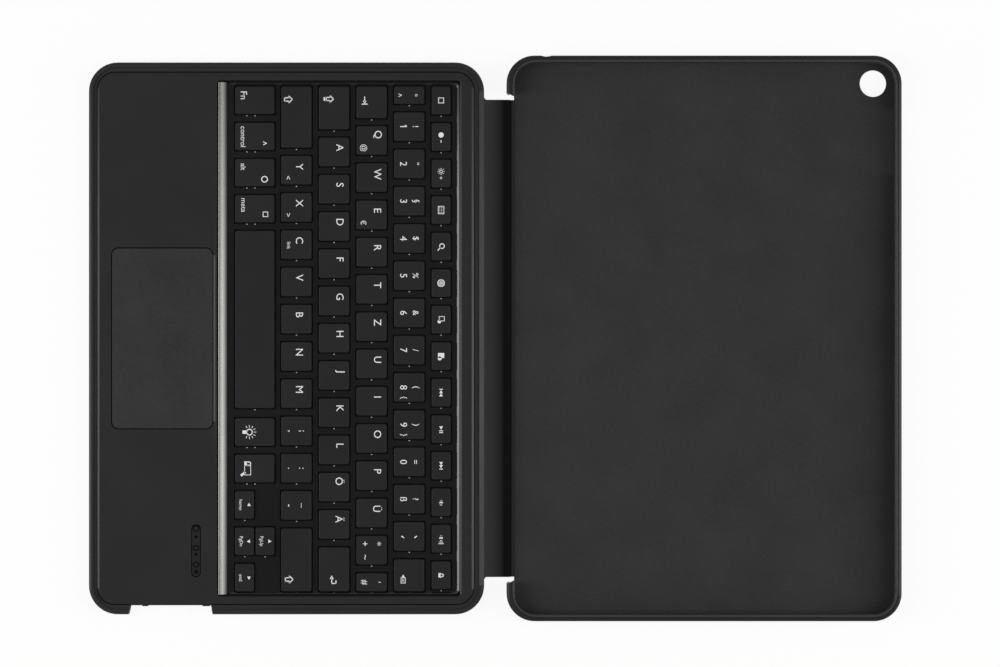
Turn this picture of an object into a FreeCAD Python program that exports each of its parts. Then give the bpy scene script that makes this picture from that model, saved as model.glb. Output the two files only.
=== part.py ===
# Folding keyboard case: keyboard deck, soft spine and device shell, lying open and flat.
# Frame: X runs from the deck to the shell, Y across, Z up, origin under the middle of the box.
import FreeCAD
import Part
import Sketcher
import math
import os

doc = FreeCAD.newDocument("keyboard_case")

# Driving sizes in millimetres, angles in degrees
SIZES = [
    ("device_long", 250.6), ("device_short", 174.1), ("device_thick", 7.5),
    ("fit_gap", 0.25), ("shell_wall", 1.3), ("shell_corner", 12.55), ("back_thick", 1.2),
    ("lining_thick", 0.3), ("device_play", 0.2), ("lip_thick", 0.8), ("lip_reach", 2.2),
    ("shell_edge", 0.7), ("tip_gap", 1.3), ("tip_slant", 1.6),
    ("slit_deep", 3.4), ("slit_wide", 2.7), ("slit_gap", 0.1),
    ("step_in", 1.6), ("step_down", 0.3), ("step_near", 0.8),
    ("jack_at", 18.0), ("scoop_radius", 6.0), ("scoop_deep", 0.55),
    ("camera_radius", 6.0), ("camera_inset", 12.05), ("port_wide", 14.0), ("port_tall", 5.0),
    ("deck_short", 177.6), ("deck_long", 248.0), ("deck_corner", 13.0), ("deck_edge", 0.8),
    ("span", 10.05), ("closed_gap", 0.4), ("tray_floor", 1.0), ("rim_height", 6.6),
    ("rim_wall", 2.2), ("rebate_height", 5.6), ("tray_fit", 0.1),
    ("notch_at", 36.7), ("notch_long", 38.0),
    ("unit_front_inset", 3.6), ("unit_rear_inset", 4.4), ("unit_side_inset", 4.2),
    ("unit_corner", 8.0), ("unit_edge", 1.2), ("base_thick", 0.8), ("split_height", 3.2),
    ("unit_height", 6.2), ("roof_thick", 1.0), ("palm_deep", 52.3), ("palm_wall", 2.2),
    ("side_wall", 3.9), ("cross_rib", 1.8), ("rear_wall", 6.4), ("well_corner", 1.5),
    ("screw_radius", 0.7), ("screw_head", 1.4), ("screw_run", 3.8), ("screw_front", 18.4),
    ("bar_deep", 4.5), ("bar_height", 6.3), ("layer_gap", 0.3), ("film_thick", 0.3),
    ("lattice_height", 4.5), ("lattice_gap", 0.4), ("lattice_side_gap", 0.9), ("lattice_edge", 0.15),
    ("ledge_rise", 0.5), ("ledge_slope", 0.7), ("ledge_flat", 0.25), ("ledge_side", 0.6),
    ("slope_wide", 0.95), ("slope_drop", 0.55),
    ("backspace_wide", 14.38), ("key_wide", 12.9), ("row_gap", 3.39), ("rear_margin", 4.34),
    ("key_corner", 0.5), ("key_top", 5.9), ("key_bottom", 4.3), ("key_taper", 7.0),
    ("key_skirt", 1.1), ("key_roof", 0.6), ("key_clear", 0.4), ("block_margin", 1.6),
    ("block_shift", 0.25),
    ("front_row_at", 8.1), ("front_row_deep", 17.5), ("letter_rows_at", 28.8),
    ("function_deep", 8.4), ("function_short", 0.97), ("function_wide", 12.5),
    ("front_pitch", 16.25), ("front_wide", 12.3), ("space_at", 64.8), ("space_gap", 4.5),
    ("cluster_over", 0.1), ("cluster_pitch", 16.35), ("arrow_split", 0.85),
    ("caret_wide", 7.8), ("tab_wide", 14.2), ("caps_wide", 19.2), ("shift_wide", 27.4),
    ("digits_at", 11.54), ("top_at", 17.74), ("home_at", 22.9), ("bottom_at", 31.1),
    ("dome_foot", 2.2),
    ("pad_deep", 45.3), ("pad_wide", 81.2), ("pad_corner", 3.0), ("pad_gap", 0.25),
    ("pad_thick", 1.0), ("carrier_thick", 0.9), ("pin_radius", 0.6), ("pin_clear", 0.05),
    ("pin_height", 4.4), ("pin_inset", 1.15), ("pin_long", 3.0), ("saddle_long", 2.0),
    ("lens_deep", 4.2), ("lens_long", 23.8), ("lens_ledge", 0.6), ("lens_gap", 0.05),
    ("lens_at", 48.2), ("lens_aside", 20.5),
    ("rib_inset", 15.6), ("rib_apart", 30.0), ("board_lift", 0.4), ("board_thick", 0.8), ("board_deep", 42.8), ("board_gap", 11.4),
    ("socket_wide", 8.94), ("socket_tall", 3.16), ("socket_deep", 7.3), ("socket_skin", 0.3),
    ("knob_wide", 2.7), ("knob_tall", 1.1), ("knob_travel", 2.0), ("knob_proud", 0.6),
    ("button_wide", 3.4), ("button_tall", 1.4), ("button_travel", 0.4), ("button_clear", 0.05),
    ("cell_deep", 41.0), ("cell_gap", 7.4), ("cell_thick", 3.0), ("cell_inset", 3.5), ("cell_aside", 1.9),
    ("magnet_long", 10.0), ("magnet_deep", 3.0), ("magnet_thick", 1.2), ("magnet_apart", 120.0),
    ("spine_long", 214.6), ("web_thick", 1.4), ("bead_radius", 0.8), ("bead_clear", 0.05),
    ("rail_reach", 1.0),
]

# Sizes worked out from the driving ones
LAYOUT = [
    ("shell_long", "Sizes.device_long + 2 * (Sizes.fit_gap + Sizes.shell_wall)"),
    ("shell_short", "Sizes.device_short + 2 * (Sizes.fit_gap + Sizes.shell_wall)"),
    ("lip_height", "Sizes.back_thick + Sizes.lining_thick + Sizes.device_thick + Sizes.device_play"),
    ("shell_height", "Layout.lip_height + Sizes.lip_thick"),
    ("half_total", "(Sizes.deck_short + Sizes.span + Layout.shell_short) / 2"),
    ("deck_front", "-Layout.half_total"),
    ("deck_rear", "Layout.deck_front + Sizes.deck_short"),
    ("deck_middle", "Layout.deck_front + Sizes.deck_short / 2"),
    ("shell_near", "Layout.deck_rear + Sizes.span"),
    ("shell_middle", "Layout.shell_near + Layout.shell_short / 2"),
    ("shell_far", "Layout.shell_near + Layout.shell_short"),
    ("spine_opening", "Sizes.spine_long + 2 * Sizes.tip_gap"),
    ("slit_at", "(Sizes.spine_long + Sizes.slit_wide) / 2 + Sizes.slit_gap"),
    ("lining_near", "Layout.shell_near + Sizes.slit_deep + 0.2"),
    ("lining_far", "Layout.shell_middle + Sizes.device_short / 2 - 0.1"),
    ("fold_deck", "Layout.deck_rear + Sizes.rail_reach"),
    ("fold_shell", "Layout.shell_near"),
    ("fold_span", "Layout.fold_shell - Layout.fold_deck"),
    ("closed_height", "Sizes.rim_height + Sizes.closed_gap + Layout.shell_height"),
    ("fold_height", "(Layout.closed_height - Layout.fold_span) / 2"),
    ("unit_front", "Layout.deck_front + Sizes.unit_front_inset"),
    ("unit_rear", "Layout.deck_rear - Sizes.unit_rear_inset"),
    ("unit_short", "Layout.unit_rear - Layout.unit_front"),
    ("unit_middle", "(Layout.unit_rear + Layout.unit_front) / 2"),
    ("unit_long", "Sizes.deck_long - 2 * Sizes.unit_side_inset"),
    ("unit_side", "Layout.unit_long / 2"),
    ("bay_long", "Layout.unit_long - 2 * Sizes.side_wall"),
    ("bay_side", "Layout.bay_long / 2"),
    ("lens_side", "Layout.bay_side - Sizes.lens_aside"),
    ("cell_long", "Layout.bay_side - Sizes.cell_aside - Sizes.pad_wide / 2 - Sizes.cell_gap"),
    ("board_long", "Layout.bay_side - 0.3 - Sizes.pad_wide / 2 - Sizes.board_gap"),
    ("palm_rear", "Layout.unit_front + Sizes.palm_deep"),
    ("palm_front", "Layout.unit_front + Sizes.palm_wall"),
    ("palm_short", "Layout.palm_rear - Layout.palm_front"),
    ("well_front", "Layout.palm_rear + Sizes.cross_rib"),
    ("well_deep", "Layout.unit_rear - Sizes.rear_wall - Layout.well_front"),
    ("well_middle", "Layout.well_front + Layout.well_deep / 2"),
    ("well_rear", "Layout.well_front + Layout.well_deep"),
    ("screw_row", "(Layout.well_rear - Sizes.screw_run - Layout.unit_front - Sizes.screw_front) / 3"),
    ("floor_top", "Sizes.tray_floor + Sizes.base_thick"),
    ("roof_under", "Sizes.unit_height - Sizes.roof_thick"),
    ("guide_top", "Layout.floor_top + Sizes.film_thick"),
    ("plate_top", "Layout.guide_top + Sizes.film_thick"),
    ("membrane_top", "Layout.plate_top + Sizes.film_thick"),
    ("film_deep", "Layout.well_deep - 2 * Sizes.layer_gap"),
    ("film_long", "Layout.bay_long - 2 * Sizes.layer_gap"),
    ("bar_rear", "Layout.well_front + Sizes.bar_deep"),
    ("lattice_rear", "Layout.well_rear - Sizes.lattice_gap"),
    ("ledge_top", "Sizes.lattice_height + Sizes.ledge_rise"),
    ("lattice_deep", "Layout.lattice_rear - Layout.bar_rear"),
    ("lattice_middle", "(Layout.lattice_rear + Layout.bar_rear) / 2"),
    ("lattice_long", "Layout.bay_long - 2 * Sizes.lattice_side_gap"),
    ("block_long", "Layout.lattice_long - 2 * Sizes.block_margin"),
    ("block_side", "Layout.block_long / 2 - Sizes.block_shift"),
    ("key_pitch", "(Layout.block_long - Sizes.digits_at - Sizes.backspace_wide) / 12"),
    ("function_pitch", "(Layout.block_long - Sizes.function_wide - Sizes.function_short) / 13"),
    ("cluster_at", "Layout.block_long - 4 * Sizes.cluster_pitch - Sizes.function_wide + Sizes.cluster_over"),
    ("space_wide", "Layout.cluster_at - Sizes.space_at - Sizes.space_gap"),
    ("key_flare", "(Sizes.key_top - Sizes.key_bottom) * tan(Sizes.key_taper * 1 deg)"),
    ("front_row", "Layout.well_front + Sizes.front_row_at"),
    ("bottom_row", "Layout.well_front + Sizes.letter_rows_at"),
    ("row_pitch", "(Layout.well_deep - Sizes.letter_rows_at - Sizes.function_deep - Sizes.rear_margin) / 4"),
    ("key_deep", "Layout.row_pitch - Sizes.row_gap"),
    ("home_row", "Layout.bottom_row + Layout.row_pitch"),
    ("top_row", "Layout.home_row + Layout.row_pitch"),
    ("digit_row", "Layout.top_row + Layout.row_pitch"),
    ("function_row", "Layout.digit_row + Layout.row_pitch"),
    ("arrow_deep", "(Sizes.front_row_deep - Sizes.arrow_split) / 2"),
    ("arrow_rear_at", "Layout.front_row + Layout.arrow_deep + Sizes.arrow_split"),
    ("hash_at", "Sizes.top_at + 12 * Layout.key_pitch"),
    ("backspace_at", "Sizes.digits_at + 12 * Layout.key_pitch"),
    ("enter_at", "Sizes.home_at + 11 * Layout.key_pitch"),
    ("right_shift_at", "Sizes.bottom_at + 10 * Layout.key_pitch"),
    ("hash_wide", "Layout.block_long - Layout.hash_at"),
    ("enter_wide", "Layout.block_long - Layout.enter_at"),
    ("right_shift_wide", "Layout.block_long - Layout.right_shift_at"),
    ("pad_rear", "Layout.palm_rear - Sizes.pad_gap"),
    ("pad_middle", "Layout.pad_rear - Sizes.pad_deep / 2"),
    ("pad_top", "Sizes.unit_height - 0.1"),
    ("carrier_top", "Layout.pad_top - Sizes.pad_thick"),
    ("carrier_under", "Layout.carrier_top - Sizes.carrier_thick"),
    ("pin_at", "Layout.pad_rear - Sizes.pin_inset"),
    ("board_under", "Layout.floor_top + Sizes.board_lift"),
    ("board_top", "Layout.board_under + Sizes.board_thick"),
    ("board_middle", "Layout.palm_rear - 0.7 - Sizes.board_deep / 2"),
    ("board_edge", "-Layout.bay_side + 0.3"),
    ("notch_middle", "Layout.unit_front + Sizes.notch_at - 3.6"),
    ("socket_height", "Layout.floor_top + Sizes.socket_tall / 2"),
    ("knob_at", "Layout.notch_middle - 10.5"),
    ("knob_height", "Sizes.split_height + 0.75"),
    ("button_at", "Layout.notch_middle + 15.9"),
    ("button_height", "Sizes.split_height + 0.8"),
    ("lens_middle", "Layout.unit_front + Sizes.lens_at - 3.6"),
]


def fill(name, entries, lead):
    table = doc.addObject("Spreadsheet::Sheet", name)
    for row, (word, content) in enumerate(entries, 1):
        table.set("A%d" % row, word)
        table.set("B%d" % row, lead + str(content))
        table.setAlias("B%d" % row, word)
    return table


fill("Sizes", SIZES, "")
fill("Layout", LAYOUT, "=")
trial = doc.addObject("Spreadsheet::Sheet", "Trial")
doc.recompute()


# Number that a formula gives now, where a sketch starts before its constraints are bound
def number(formula):
    trial.set("A1", "=" + formula)
    trial.recompute()
    return float(trial.get("A1"))


def body(label):
    made = doc.addObject("PartDesign::Body", label)
    made.Label = label
    made.AllowCompound = True
    return made


def origin(owner, role):
    return [item for item in owner.Origin.OriginFeatures if item.Role == role][0]


def bind(item, path, formula):
    item.setExpression(path, formula)


# Empty sketch on a plane of its body, moved by three formulas in the plane's own directions
def sketch(owner, at, role="XY_Plane"):
    made = owner.newObject("Sketcher::SketchObject", owner.Label + "_sketch")
    made.AttachmentSupport = (origin(owner, role), [""])
    made.MapMode = "FlatFace"
    for axis, formula in zip("xyz", at):
        bind(made, "AttachmentOffset.Base." + axis, formula)
    return made


def named(made, constraint, formula):
    index = made.addConstraint(constraint)
    name = "size%d" % index
    made.renameConstraint(index, name)
    bind(made, "Constraints." + name, formula)


def line(made, start, end):
    first = FreeCAD.Vector(start[0], start[1], 0)
    second = FreeCAD.Vector(end[0], end[1], 0)
    return made.addGeometry(Part.LineSegment(first, second), False)


# Rectangle about a point of the sketch, or about its origin
def add_rectangle(made, wide, tall, mid=None):
    half_x = number(wide) / 2
    half_y = number(tall) / 2
    mid_x, mid_y = (number(mid[0]), number(mid[1])) if mid else (0.0, 0.0)
    spots = [(mid_x + a * half_x, mid_y + b * half_y) for a, b in ((-1, -1), (1, -1), (1, 1), (-1, 1))]
    sides = [line(made, spots[i], spots[(i + 1) % 4]) for i in range(4)]
    for i in range(4):
        made.addConstraint(Sketcher.Constraint("Coincident", sides[i], 2, sides[(i + 1) % 4], 1))
    for i, way in enumerate(("Horizontal", "Vertical", "Horizontal", "Vertical")):
        made.addConstraint(Sketcher.Constraint(way, sides[i]))
    named(made, Sketcher.Constraint("DistanceX", sides[0], 1, sides[0], 2, 2 * half_x), wide)
    named(made, Sketcher.Constraint("DistanceY", sides[1], 1, sides[1], 2, 2 * half_y), tall)
    if mid:
        named(made, Sketcher.Constraint("DistanceX", -1, 1, sides[0], 1, spots[0][0]),
              "%s - (%s) / 2" % (mid[0], wide))
        named(made, Sketcher.Constraint("DistanceY", -1, 1, sides[0], 1, spots[0][1]),
              "%s - (%s) / 2" % (mid[1], tall))
    else:
        made.addConstraint(Sketcher.Constraint("Symmetric", sides[0], 1, sides[2], 1, -1, 1))


# Rectangle with round corners about the sketch origin
def add_rounded(made, wide, tall, corner):
    half_x = number(wide) / 2
    half_y = number(tall) / 2
    bend = number(corner)
    core_x = half_x - bend
    core_y = half_y - bend
    sides = [
        line(made, (-core_x, -half_y), (core_x, -half_y)),
        line(made, (half_x, -core_y), (half_x, core_y)),
        line(made, (core_x, half_y), (-core_x, half_y)),
        line(made, (-half_x, core_y), (-half_x, -core_y)),
    ]
    arcs = []
    for i, (a, b) in enumerate(((1, -1), (1, 1), (-1, 1), (-1, -1))):
        circle = Part.Circle(FreeCAD.Vector(a * core_x, b * core_y, 0), FreeCAD.Vector(0, 0, 1), bend)
        first = math.radians(-90 + 90 * i)
        arcs.append(made.addGeometry(Part.ArcOfCircle(circle, first, first + math.radians(90)), False))
    for i in range(4):
        made.addConstraint(Sketcher.Constraint("Tangent", sides[i], 2, arcs[i], 1))
        made.addConstraint(Sketcher.Constraint("Tangent", arcs[i], 2, sides[(i + 1) % 4], 1))
    for i, way in enumerate(("Horizontal", "Vertical", "Horizontal", "Vertical")):
        made.addConstraint(Sketcher.Constraint(way, sides[i]))
    for i in range(3):
        made.addConstraint(Sketcher.Constraint("Equal", arcs[i], arcs[i + 1]))
    made.addConstraint(Sketcher.Constraint("Symmetric", arcs[0], 3, arcs[2], 3, -1, 1))
    named(made, Sketcher.Constraint("Radius", arcs[0], bend), corner)
    named(made, Sketcher.Constraint("DistanceX", sides[3], 1, sides[1], 1, 2 * half_x), wide)
    named(made, Sketcher.Constraint("DistanceY", sides[0], 1, sides[2], 1, 2 * half_y), tall)


# Rectangle with cut corners about the sketch origin, which is round enough for small repeated pieces
def add_cut_corner(made, wide, tall, corner):
    half_x = number(wide) / 2
    half_y = number(tall) / 2
    core_x = half_x - number(corner)
    core_y = half_y - number(corner)
    spots = [(-core_x, -half_y), (core_x, -half_y), (half_x, -core_y), (half_x, core_y),
             (core_x, half_y), (-core_x, half_y), (-half_x, core_y), (-half_x, -core_y)]
    sides = [line(made, spots[i], spots[(i + 1) % 8]) for i in range(8)]
    for i in range(8):
        made.addConstraint(Sketcher.Constraint("Coincident", sides[i], 2, sides[(i + 1) % 8], 1))
    for i in range(4):
        made.addConstraint(Sketcher.Constraint("Symmetric", sides[i], 1, sides[i + 4], 1, -1, 1))
    made.addConstraint(Sketcher.Constraint("Symmetric", sides[0], 1, sides[1], 1, -2))
    made.addConstraint(Sketcher.Constraint("Symmetric", sides[2], 1, sides[3], 1, -1))
    named(made, Sketcher.Constraint("DistanceX", sides[0], 1, sides[1], 1, 2 * core_x),
          "%s - 2 * (%s)" % (wide, corner))
    named(made, Sketcher.Constraint("DistanceY", sides[2], 1, sides[3], 1, 2 * core_y),
          "%s - 2 * (%s)" % (tall, corner))
    named(made, Sketcher.Constraint("DistanceX", sides[6], 1, sides[2], 1, 2 * half_x), wide)
    named(made, Sketcher.Constraint("DistanceY", sides[1], 1, sides[4], 1, 2 * half_y), tall)


def add_circle(made, radius, mid=None):
    size = number(radius)
    mid_x, mid_y = (number(mid[0]), number(mid[1])) if mid else (0.0, 0.0)
    circle = Part.Circle(FreeCAD.Vector(mid_x, mid_y, 0), FreeCAD.Vector(0, 0, 1), size)
    ring = made.addGeometry(circle, False)
    named(made, Sketcher.Constraint("Radius", ring, size), radius)
    if mid:
        named(made, Sketcher.Constraint("DistanceX", -1, 1, ring, 3, mid_x), mid[0])
        named(made, Sketcher.Constraint("DistanceY", -1, 1, ring, 3, mid_y), mid[1])
    else:
        made.addConstraint(Sketcher.Constraint("Coincident", ring, 3, -1, 1))


# Closed outline through points that are each held by two formulas
def add_polygon(made, points):
    spots = [(number(a), number(b)) for a, b in points]
    count = len(points)
    sides = [line(made, spots[i], spots[(i + 1) % count]) for i in range(count)]
    for i in range(count):
        made.addConstraint(Sketcher.Constraint("Coincident", sides[i], 2, sides[(i + 1) % count], 1))
    for i, (a, b) in enumerate(points):
        named(made, Sketcher.Constraint("DistanceX", -1, 1, sides[i], 1, spots[i][0]), a)
        named(made, Sketcher.Constraint("DistanceY", -1, 1, sides[i], 1, spots[i][1]), b)


def pad(owner, profile, length, middle=False, taper=None):
    made = owner.newObject("PartDesign::Pad", owner.Label + "_pad")
    made.Profile = profile
    if middle:
        made.SideType = "Symmetric"
    bind(made, "Length", length)
    if taper:
        bind(made, "TaperAngle", taper)
    return made


# Cut from the sketch towards the underside, or both ways from it
def cut(owner, profile, length, middle=False):
    made = owner.newObject("PartDesign::Pocket", owner.Label + "_cut")
    made.Profile = profile
    if middle:
        made.SideType = "Symmetric"
    bind(made, "Length", length)
    return made


def outline(owner, at, wide, tall, corner=None, form=add_rounded, role="XY_Plane"):
    made = sketch(owner, at, role)
    if corner:
        form(made, wide, tall, corner)
    else:
        add_rectangle(made, wide, tall)
    return made


def block(owner, at, wide, tall, rise, corner=None, form=add_rounded, taper=None):
    return pad(owner, outline(owner, at, wide, tall, corner, form), rise, taper=taper)


def pocket(owner, at, wide, tall, depth, corner=None, form=add_rounded):
    return cut(owner, outline(owner, at, wide, tall, corner, form), depth)


# Row of copies of features, against the direction of an axis of the body
def repeat(owner, features, pitch, count, axis="Y_Axis"):
    owner.Tip = features[-1]
    made = owner.newObject("PartDesign::LinearPattern", owner.Label + "_row")
    made.Originals = features
    made.Direction = (origin(owner, axis), [""])
    made.Reversed = True
    made.Occurrences = count
    bind(made, "Length", "%s * %d" % (pitch, count - 1))
    owner.Tip = made
    return made


# Mirror copies of features over the plane Y = 0
def mirror(owner, features):
    owner.Tip = features[-1]
    made = owner.newObject("PartDesign::Mirrored", owner.Label + "_mirror")
    made.Originals = features
    made.MirrorPlane = (origin(owner, "XZ_Plane"), [""])
    owner.Tip = made
    return made


# Names of the edges of a feature that lie flat at one height
def edges_at(feature, height):
    doc.recompute()
    names = []
    for index, edge in enumerate(feature.Shape.Edges, 1):
        box = edge.BoundBox
        if abs(box.ZMin - height) < 1e-4 and abs(box.ZMax - height) < 1e-4:
            names.append("Edge%d" % index)
    return names


def dress(owner, feature, heights, size):
    names = []
    for height in heights:
        names += edges_at(feature, number(height))
    made = owner.newObject("PartDesign::Chamfer", owner.Label + "_edge")
    made.Base = (feature, names)
    bind(made, "Size", size)
    return made


def box(name, at, sizes):
    made = doc.addObject("Part::Box", name)
    for axis, formula in zip("xyz", at):
        bind(made, "Placement.Base." + axis, formula)
    for side, formula in zip(("Length", "Width", "Height"), sizes):
        bind(made, side, formula)
    return made


def group(label, pieces):
    made = doc.addObject("Part::Compound", label)
    made.Label = label
    made.Links = pieces
    return made


NODES = []


def keep(made):
    NODES.append(made)
    return made


# Deck tray: floor, stepped rim, side notch and the cradle of the first fold
tray = keep(body("deck_tray"))
slab = block(tray, ("Layout.deck_middle", "0", "0"), "Sizes.deck_short", "Sizes.deck_long",
             "Sizes.rim_height", "Sizes.deck_corner")
dress(tray, slab, ("Sizes.rim_height", "0"), "Sizes.deck_edge")
pocket(tray, ("Layout.deck_middle", "0", "Sizes.rim_height"),
       "Sizes.deck_short - 2 * Sizes.rim_wall", "Sizes.deck_long - 2 * Sizes.rim_wall",
       "Sizes.rim_height - Sizes.rebate_height", "Sizes.deck_corner - Sizes.rim_wall")
pocket(tray, ("Layout.unit_middle", "0", "Sizes.rim_height"),
       "Layout.unit_short + 2 * Sizes.tray_fit", "Layout.unit_long + 2 * Sizes.tray_fit",
       "Sizes.rim_height - Sizes.tray_floor", "Sizes.unit_corner + Sizes.tray_fit")
notch = sketch(tray, ("Layout.notch_middle", "-Layout.unit_side", "Sizes.rim_height"))
add_polygon(notch, [
    ("-Sizes.notch_long / 2 + 0.9", "-0.1"), ("-Sizes.notch_long / 2 - 1", "-9"),
    ("Sizes.notch_long / 2 + 1", "-9"), ("Sizes.notch_long / 2 - 0.9", "-0.1")])
cut(tray, notch, "Sizes.rim_height")
rail = sketch(tray, ("Layout.fold_deck", "Layout.fold_height", "0"), "XZ_Plane")
add_polygon(rail, [
    ("-Sizes.rail_reach - 0.6", "-0.001"), ("-Sizes.rail_reach - 0.6", "-2.4"),
    ("0.2", "-1.7"), ("0.3", "-0.2"), ("-0.4", "-0.001")])
pad(tray, rail, "Sizes.spine_long", middle=True)
seat = sketch(tray, ("Layout.fold_deck", "Layout.fold_height", "0"), "XZ_Plane")
add_circle(seat, "Sizes.bead_radius + Sizes.bead_clear")
cut(tray, seat, "Sizes.spine_long + 1", middle=True)

# Base housing of the keyboard unit, standing on the tray floor
base = keep(body("base_housing"))
slab = block(base, ("Layout.unit_middle", "0", "Sizes.tray_floor"), "Layout.unit_short",
             "Layout.unit_long", "Sizes.split_height - Sizes.tray_floor", "Sizes.unit_corner")
dress(base, slab, ("Sizes.tray_floor",), "0.4")
pocket(base, ("Layout.well_middle", "0", "Sizes.split_height"), "Layout.well_deep",
       "Layout.bay_long", "Sizes.split_height - Layout.floor_top")
pocket(base, ("(Layout.palm_front + Layout.palm_rear) / 2", "0", "Sizes.split_height"),
       "Layout.palm_short", "Layout.bay_long", "Sizes.split_height - Layout.floor_top")
for aside in ("Sizes.rib_inset + Sizes.rib_apart", "Sizes.rib_inset"):
    block(base, ("Layout.board_middle", "Layout.board_edge + " + aside, "Layout.floor_top"),
          "Sizes.board_deep - 4", "1.5", "Sizes.board_lift")
post = block(base, ("Layout.pin_at", "Sizes.pad_wide / 2 + 1.6", "Layout.floor_top"), "2.1",
             "Sizes.saddle_long", "Sizes.pin_height - Layout.floor_top")
mirror(base, [post])
saddle = sketch(base, ("Layout.pin_at", "Sizes.pin_height", "0"), "XZ_Plane")
add_circle(saddle, "Sizes.pin_radius + Sizes.pin_clear")
cut(base, saddle, "Sizes.pad_wide + 8", middle=True)
nest = pocket(base, ("(Layout.well_rear + Layout.unit_rear) / 2", "Sizes.magnet_apart / 2",
                     "Sizes.split_height"), "Sizes.magnet_deep", "Sizes.magnet_long", "Sizes.magnet_thick")
mirror(base, [nest])


# Eight-sided hole or stud at each housing screw, the same in each half of the unit
def at_screws(owner, make, radius, height, length):
    for side in ("", "-"):
        spot = ("Layout.well_rear - Sizes.screw_run",
                "%s(Layout.unit_side - Sizes.side_wall / 2)" % side, height)
        first = make(owner, spot, "2 * (%s)" % radius, "2 * (%s)" % radius, length,
                     "0.586 * (%s)" % radius, add_cut_corner)
        repeat(owner, [first], "Layout.screw_row", 4, "X_Axis")


# Holes in the side wall for the socket, the slide switch and the push button
def wall_hole(owner, along, height, wide, tall, corner=None):
    made = outline(owner, (along, height, "Layout.unit_side - Sizes.side_wall / 2"), wide, tall, corner,
                   role="XZ_Plane")
    cut(owner, made, "Sizes.side_wall + 1", middle=True)


at_screws(base, pocket, "Sizes.screw_radius + 0.15", "Sizes.split_height", "Sizes.split_height")
at_screws(base, pocket, "Sizes.screw_head + 0.1", "Layout.floor_top", "Layout.floor_top")
wall_hole(base, "Layout.notch_middle", "Layout.socket_height", "Sizes.socket_wide + 0.16",
          "Sizes.socket_tall + 0.16", "Sizes.socket_tall / 2 + 0.07")

# Top housing: palm rest, keyboard well, touchpad and indicator openings
top = keep(body("top_housing"))
slab = block(top, ("Layout.unit_middle", "0", "Sizes.split_height"), "Layout.unit_short",
             "Layout.unit_long", "Sizes.unit_height - Sizes.split_height", "Sizes.unit_corner")
dress(top, slab, ("Sizes.unit_height",), "Sizes.unit_edge")
pocket(top, ("Layout.well_middle", "0", "Sizes.unit_height"), "Layout.well_deep",
       "Layout.bay_long", "Sizes.unit_height - Sizes.split_height", "Sizes.well_corner")
pocket(top, ("(Layout.palm_front + Layout.palm_rear) / 2", "0", "Layout.roof_under"),
       "Layout.palm_short", "Layout.bay_long", "Layout.roof_under - Sizes.split_height")
pocket(top, ("Layout.pad_middle", "0", "Sizes.unit_height"), "Sizes.pad_deep + 2 * Sizes.pad_gap",
       "Sizes.pad_wide + 2 * Sizes.pad_gap", "Sizes.roof_thick", "Sizes.pad_corner + Sizes.pad_gap")
pocket(top, ("Layout.lens_middle", "-Layout.lens_side", "Sizes.unit_height"),
       "Sizes.lens_deep + 2 * Sizes.lens_gap", "Sizes.lens_long + 2 * Sizes.lens_gap",
       "Sizes.roof_thick", "Sizes.lens_deep / 2 + Sizes.lens_gap - 0.01")
slope = sketch(top, ("Layout.well_rear", "Layout.roof_under", "0"), "XZ_Plane")
add_polygon(slope, [
    ("-0.1", "Sizes.roof_thick - Sizes.slope_drop"), ("Sizes.slope_wide", "Sizes.roof_thick"),
    ("Sizes.slope_wide", "Sizes.roof_thick + 1"), ("-0.1", "Sizes.roof_thick + 1")])
cut(top, slope, "Layout.bay_long - Sizes.well_corner", middle=True)
at_screws(top, pocket, "Sizes.screw_radius + 0.02", "Layout.roof_under", "Layout.roof_under")
wall_hole(top, "Layout.notch_middle", "Layout.socket_height", "Sizes.socket_wide + 0.16",
          "Sizes.socket_tall + 0.16", "Sizes.socket_tall / 2 + 0.07")
wall_hole(top, "Layout.knob_at", "Layout.knob_height", "Sizes.knob_wide + Sizes.knob_travel + 0.2",
          "Sizes.knob_tall + 0.2")
wall_hole(top, "Layout.button_at", "Layout.button_height", "Sizes.button_wide + 0.1",
          "Sizes.button_tall + 0.1")

# Screws that hold the two halves of the unit together
screws = keep(body("housing_screws"))
at_screws(screws, block, "Sizes.screw_head", "Layout.floor_top - 0.7", "0.7")
at_screws(screws, block, "Sizes.screw_radius", "Layout.floor_top",
          "Layout.roof_under - Layout.floor_top - 0.3")


# Flat layers under the keys
def layer(label, under):
    made = keep(body(label))
    block(made, ("Layout.well_middle", "0", under), "Layout.film_deep", "Layout.film_long",
          "Sizes.film_thick")
    return made


layer("backlight_guide", "Layout.floor_top")
layer("support_plate", "Layout.guide_top")
layer("membrane_sheet", "Layout.plate_top")

# Bright bar along the front of the keyboard
bar = keep(body("trim_bar"))
shape = sketch(bar, ("Layout.well_front", "Layout.membrane_top", "0"), "XZ_Plane")
add_polygon(shape, [
    ("Sizes.layer_gap", "0.001"), ("Sizes.bar_deep", "0.001"),
    ("Sizes.bar_deep", "Sizes.bar_height - Layout.membrane_top - 1.5"),
    ("Sizes.bar_deep * 0.45", "Sizes.bar_height - Layout.membrane_top"),
    ("Sizes.layer_gap + 0.4", "Sizes.bar_height - Layout.membrane_top"),
    ("Sizes.layer_gap", "Sizes.bar_height - Layout.membrane_top - 0.4")])
pad(bar, shape, "Layout.bay_long - 2 * Sizes.layer_gap - 1", middle=True)

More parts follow.
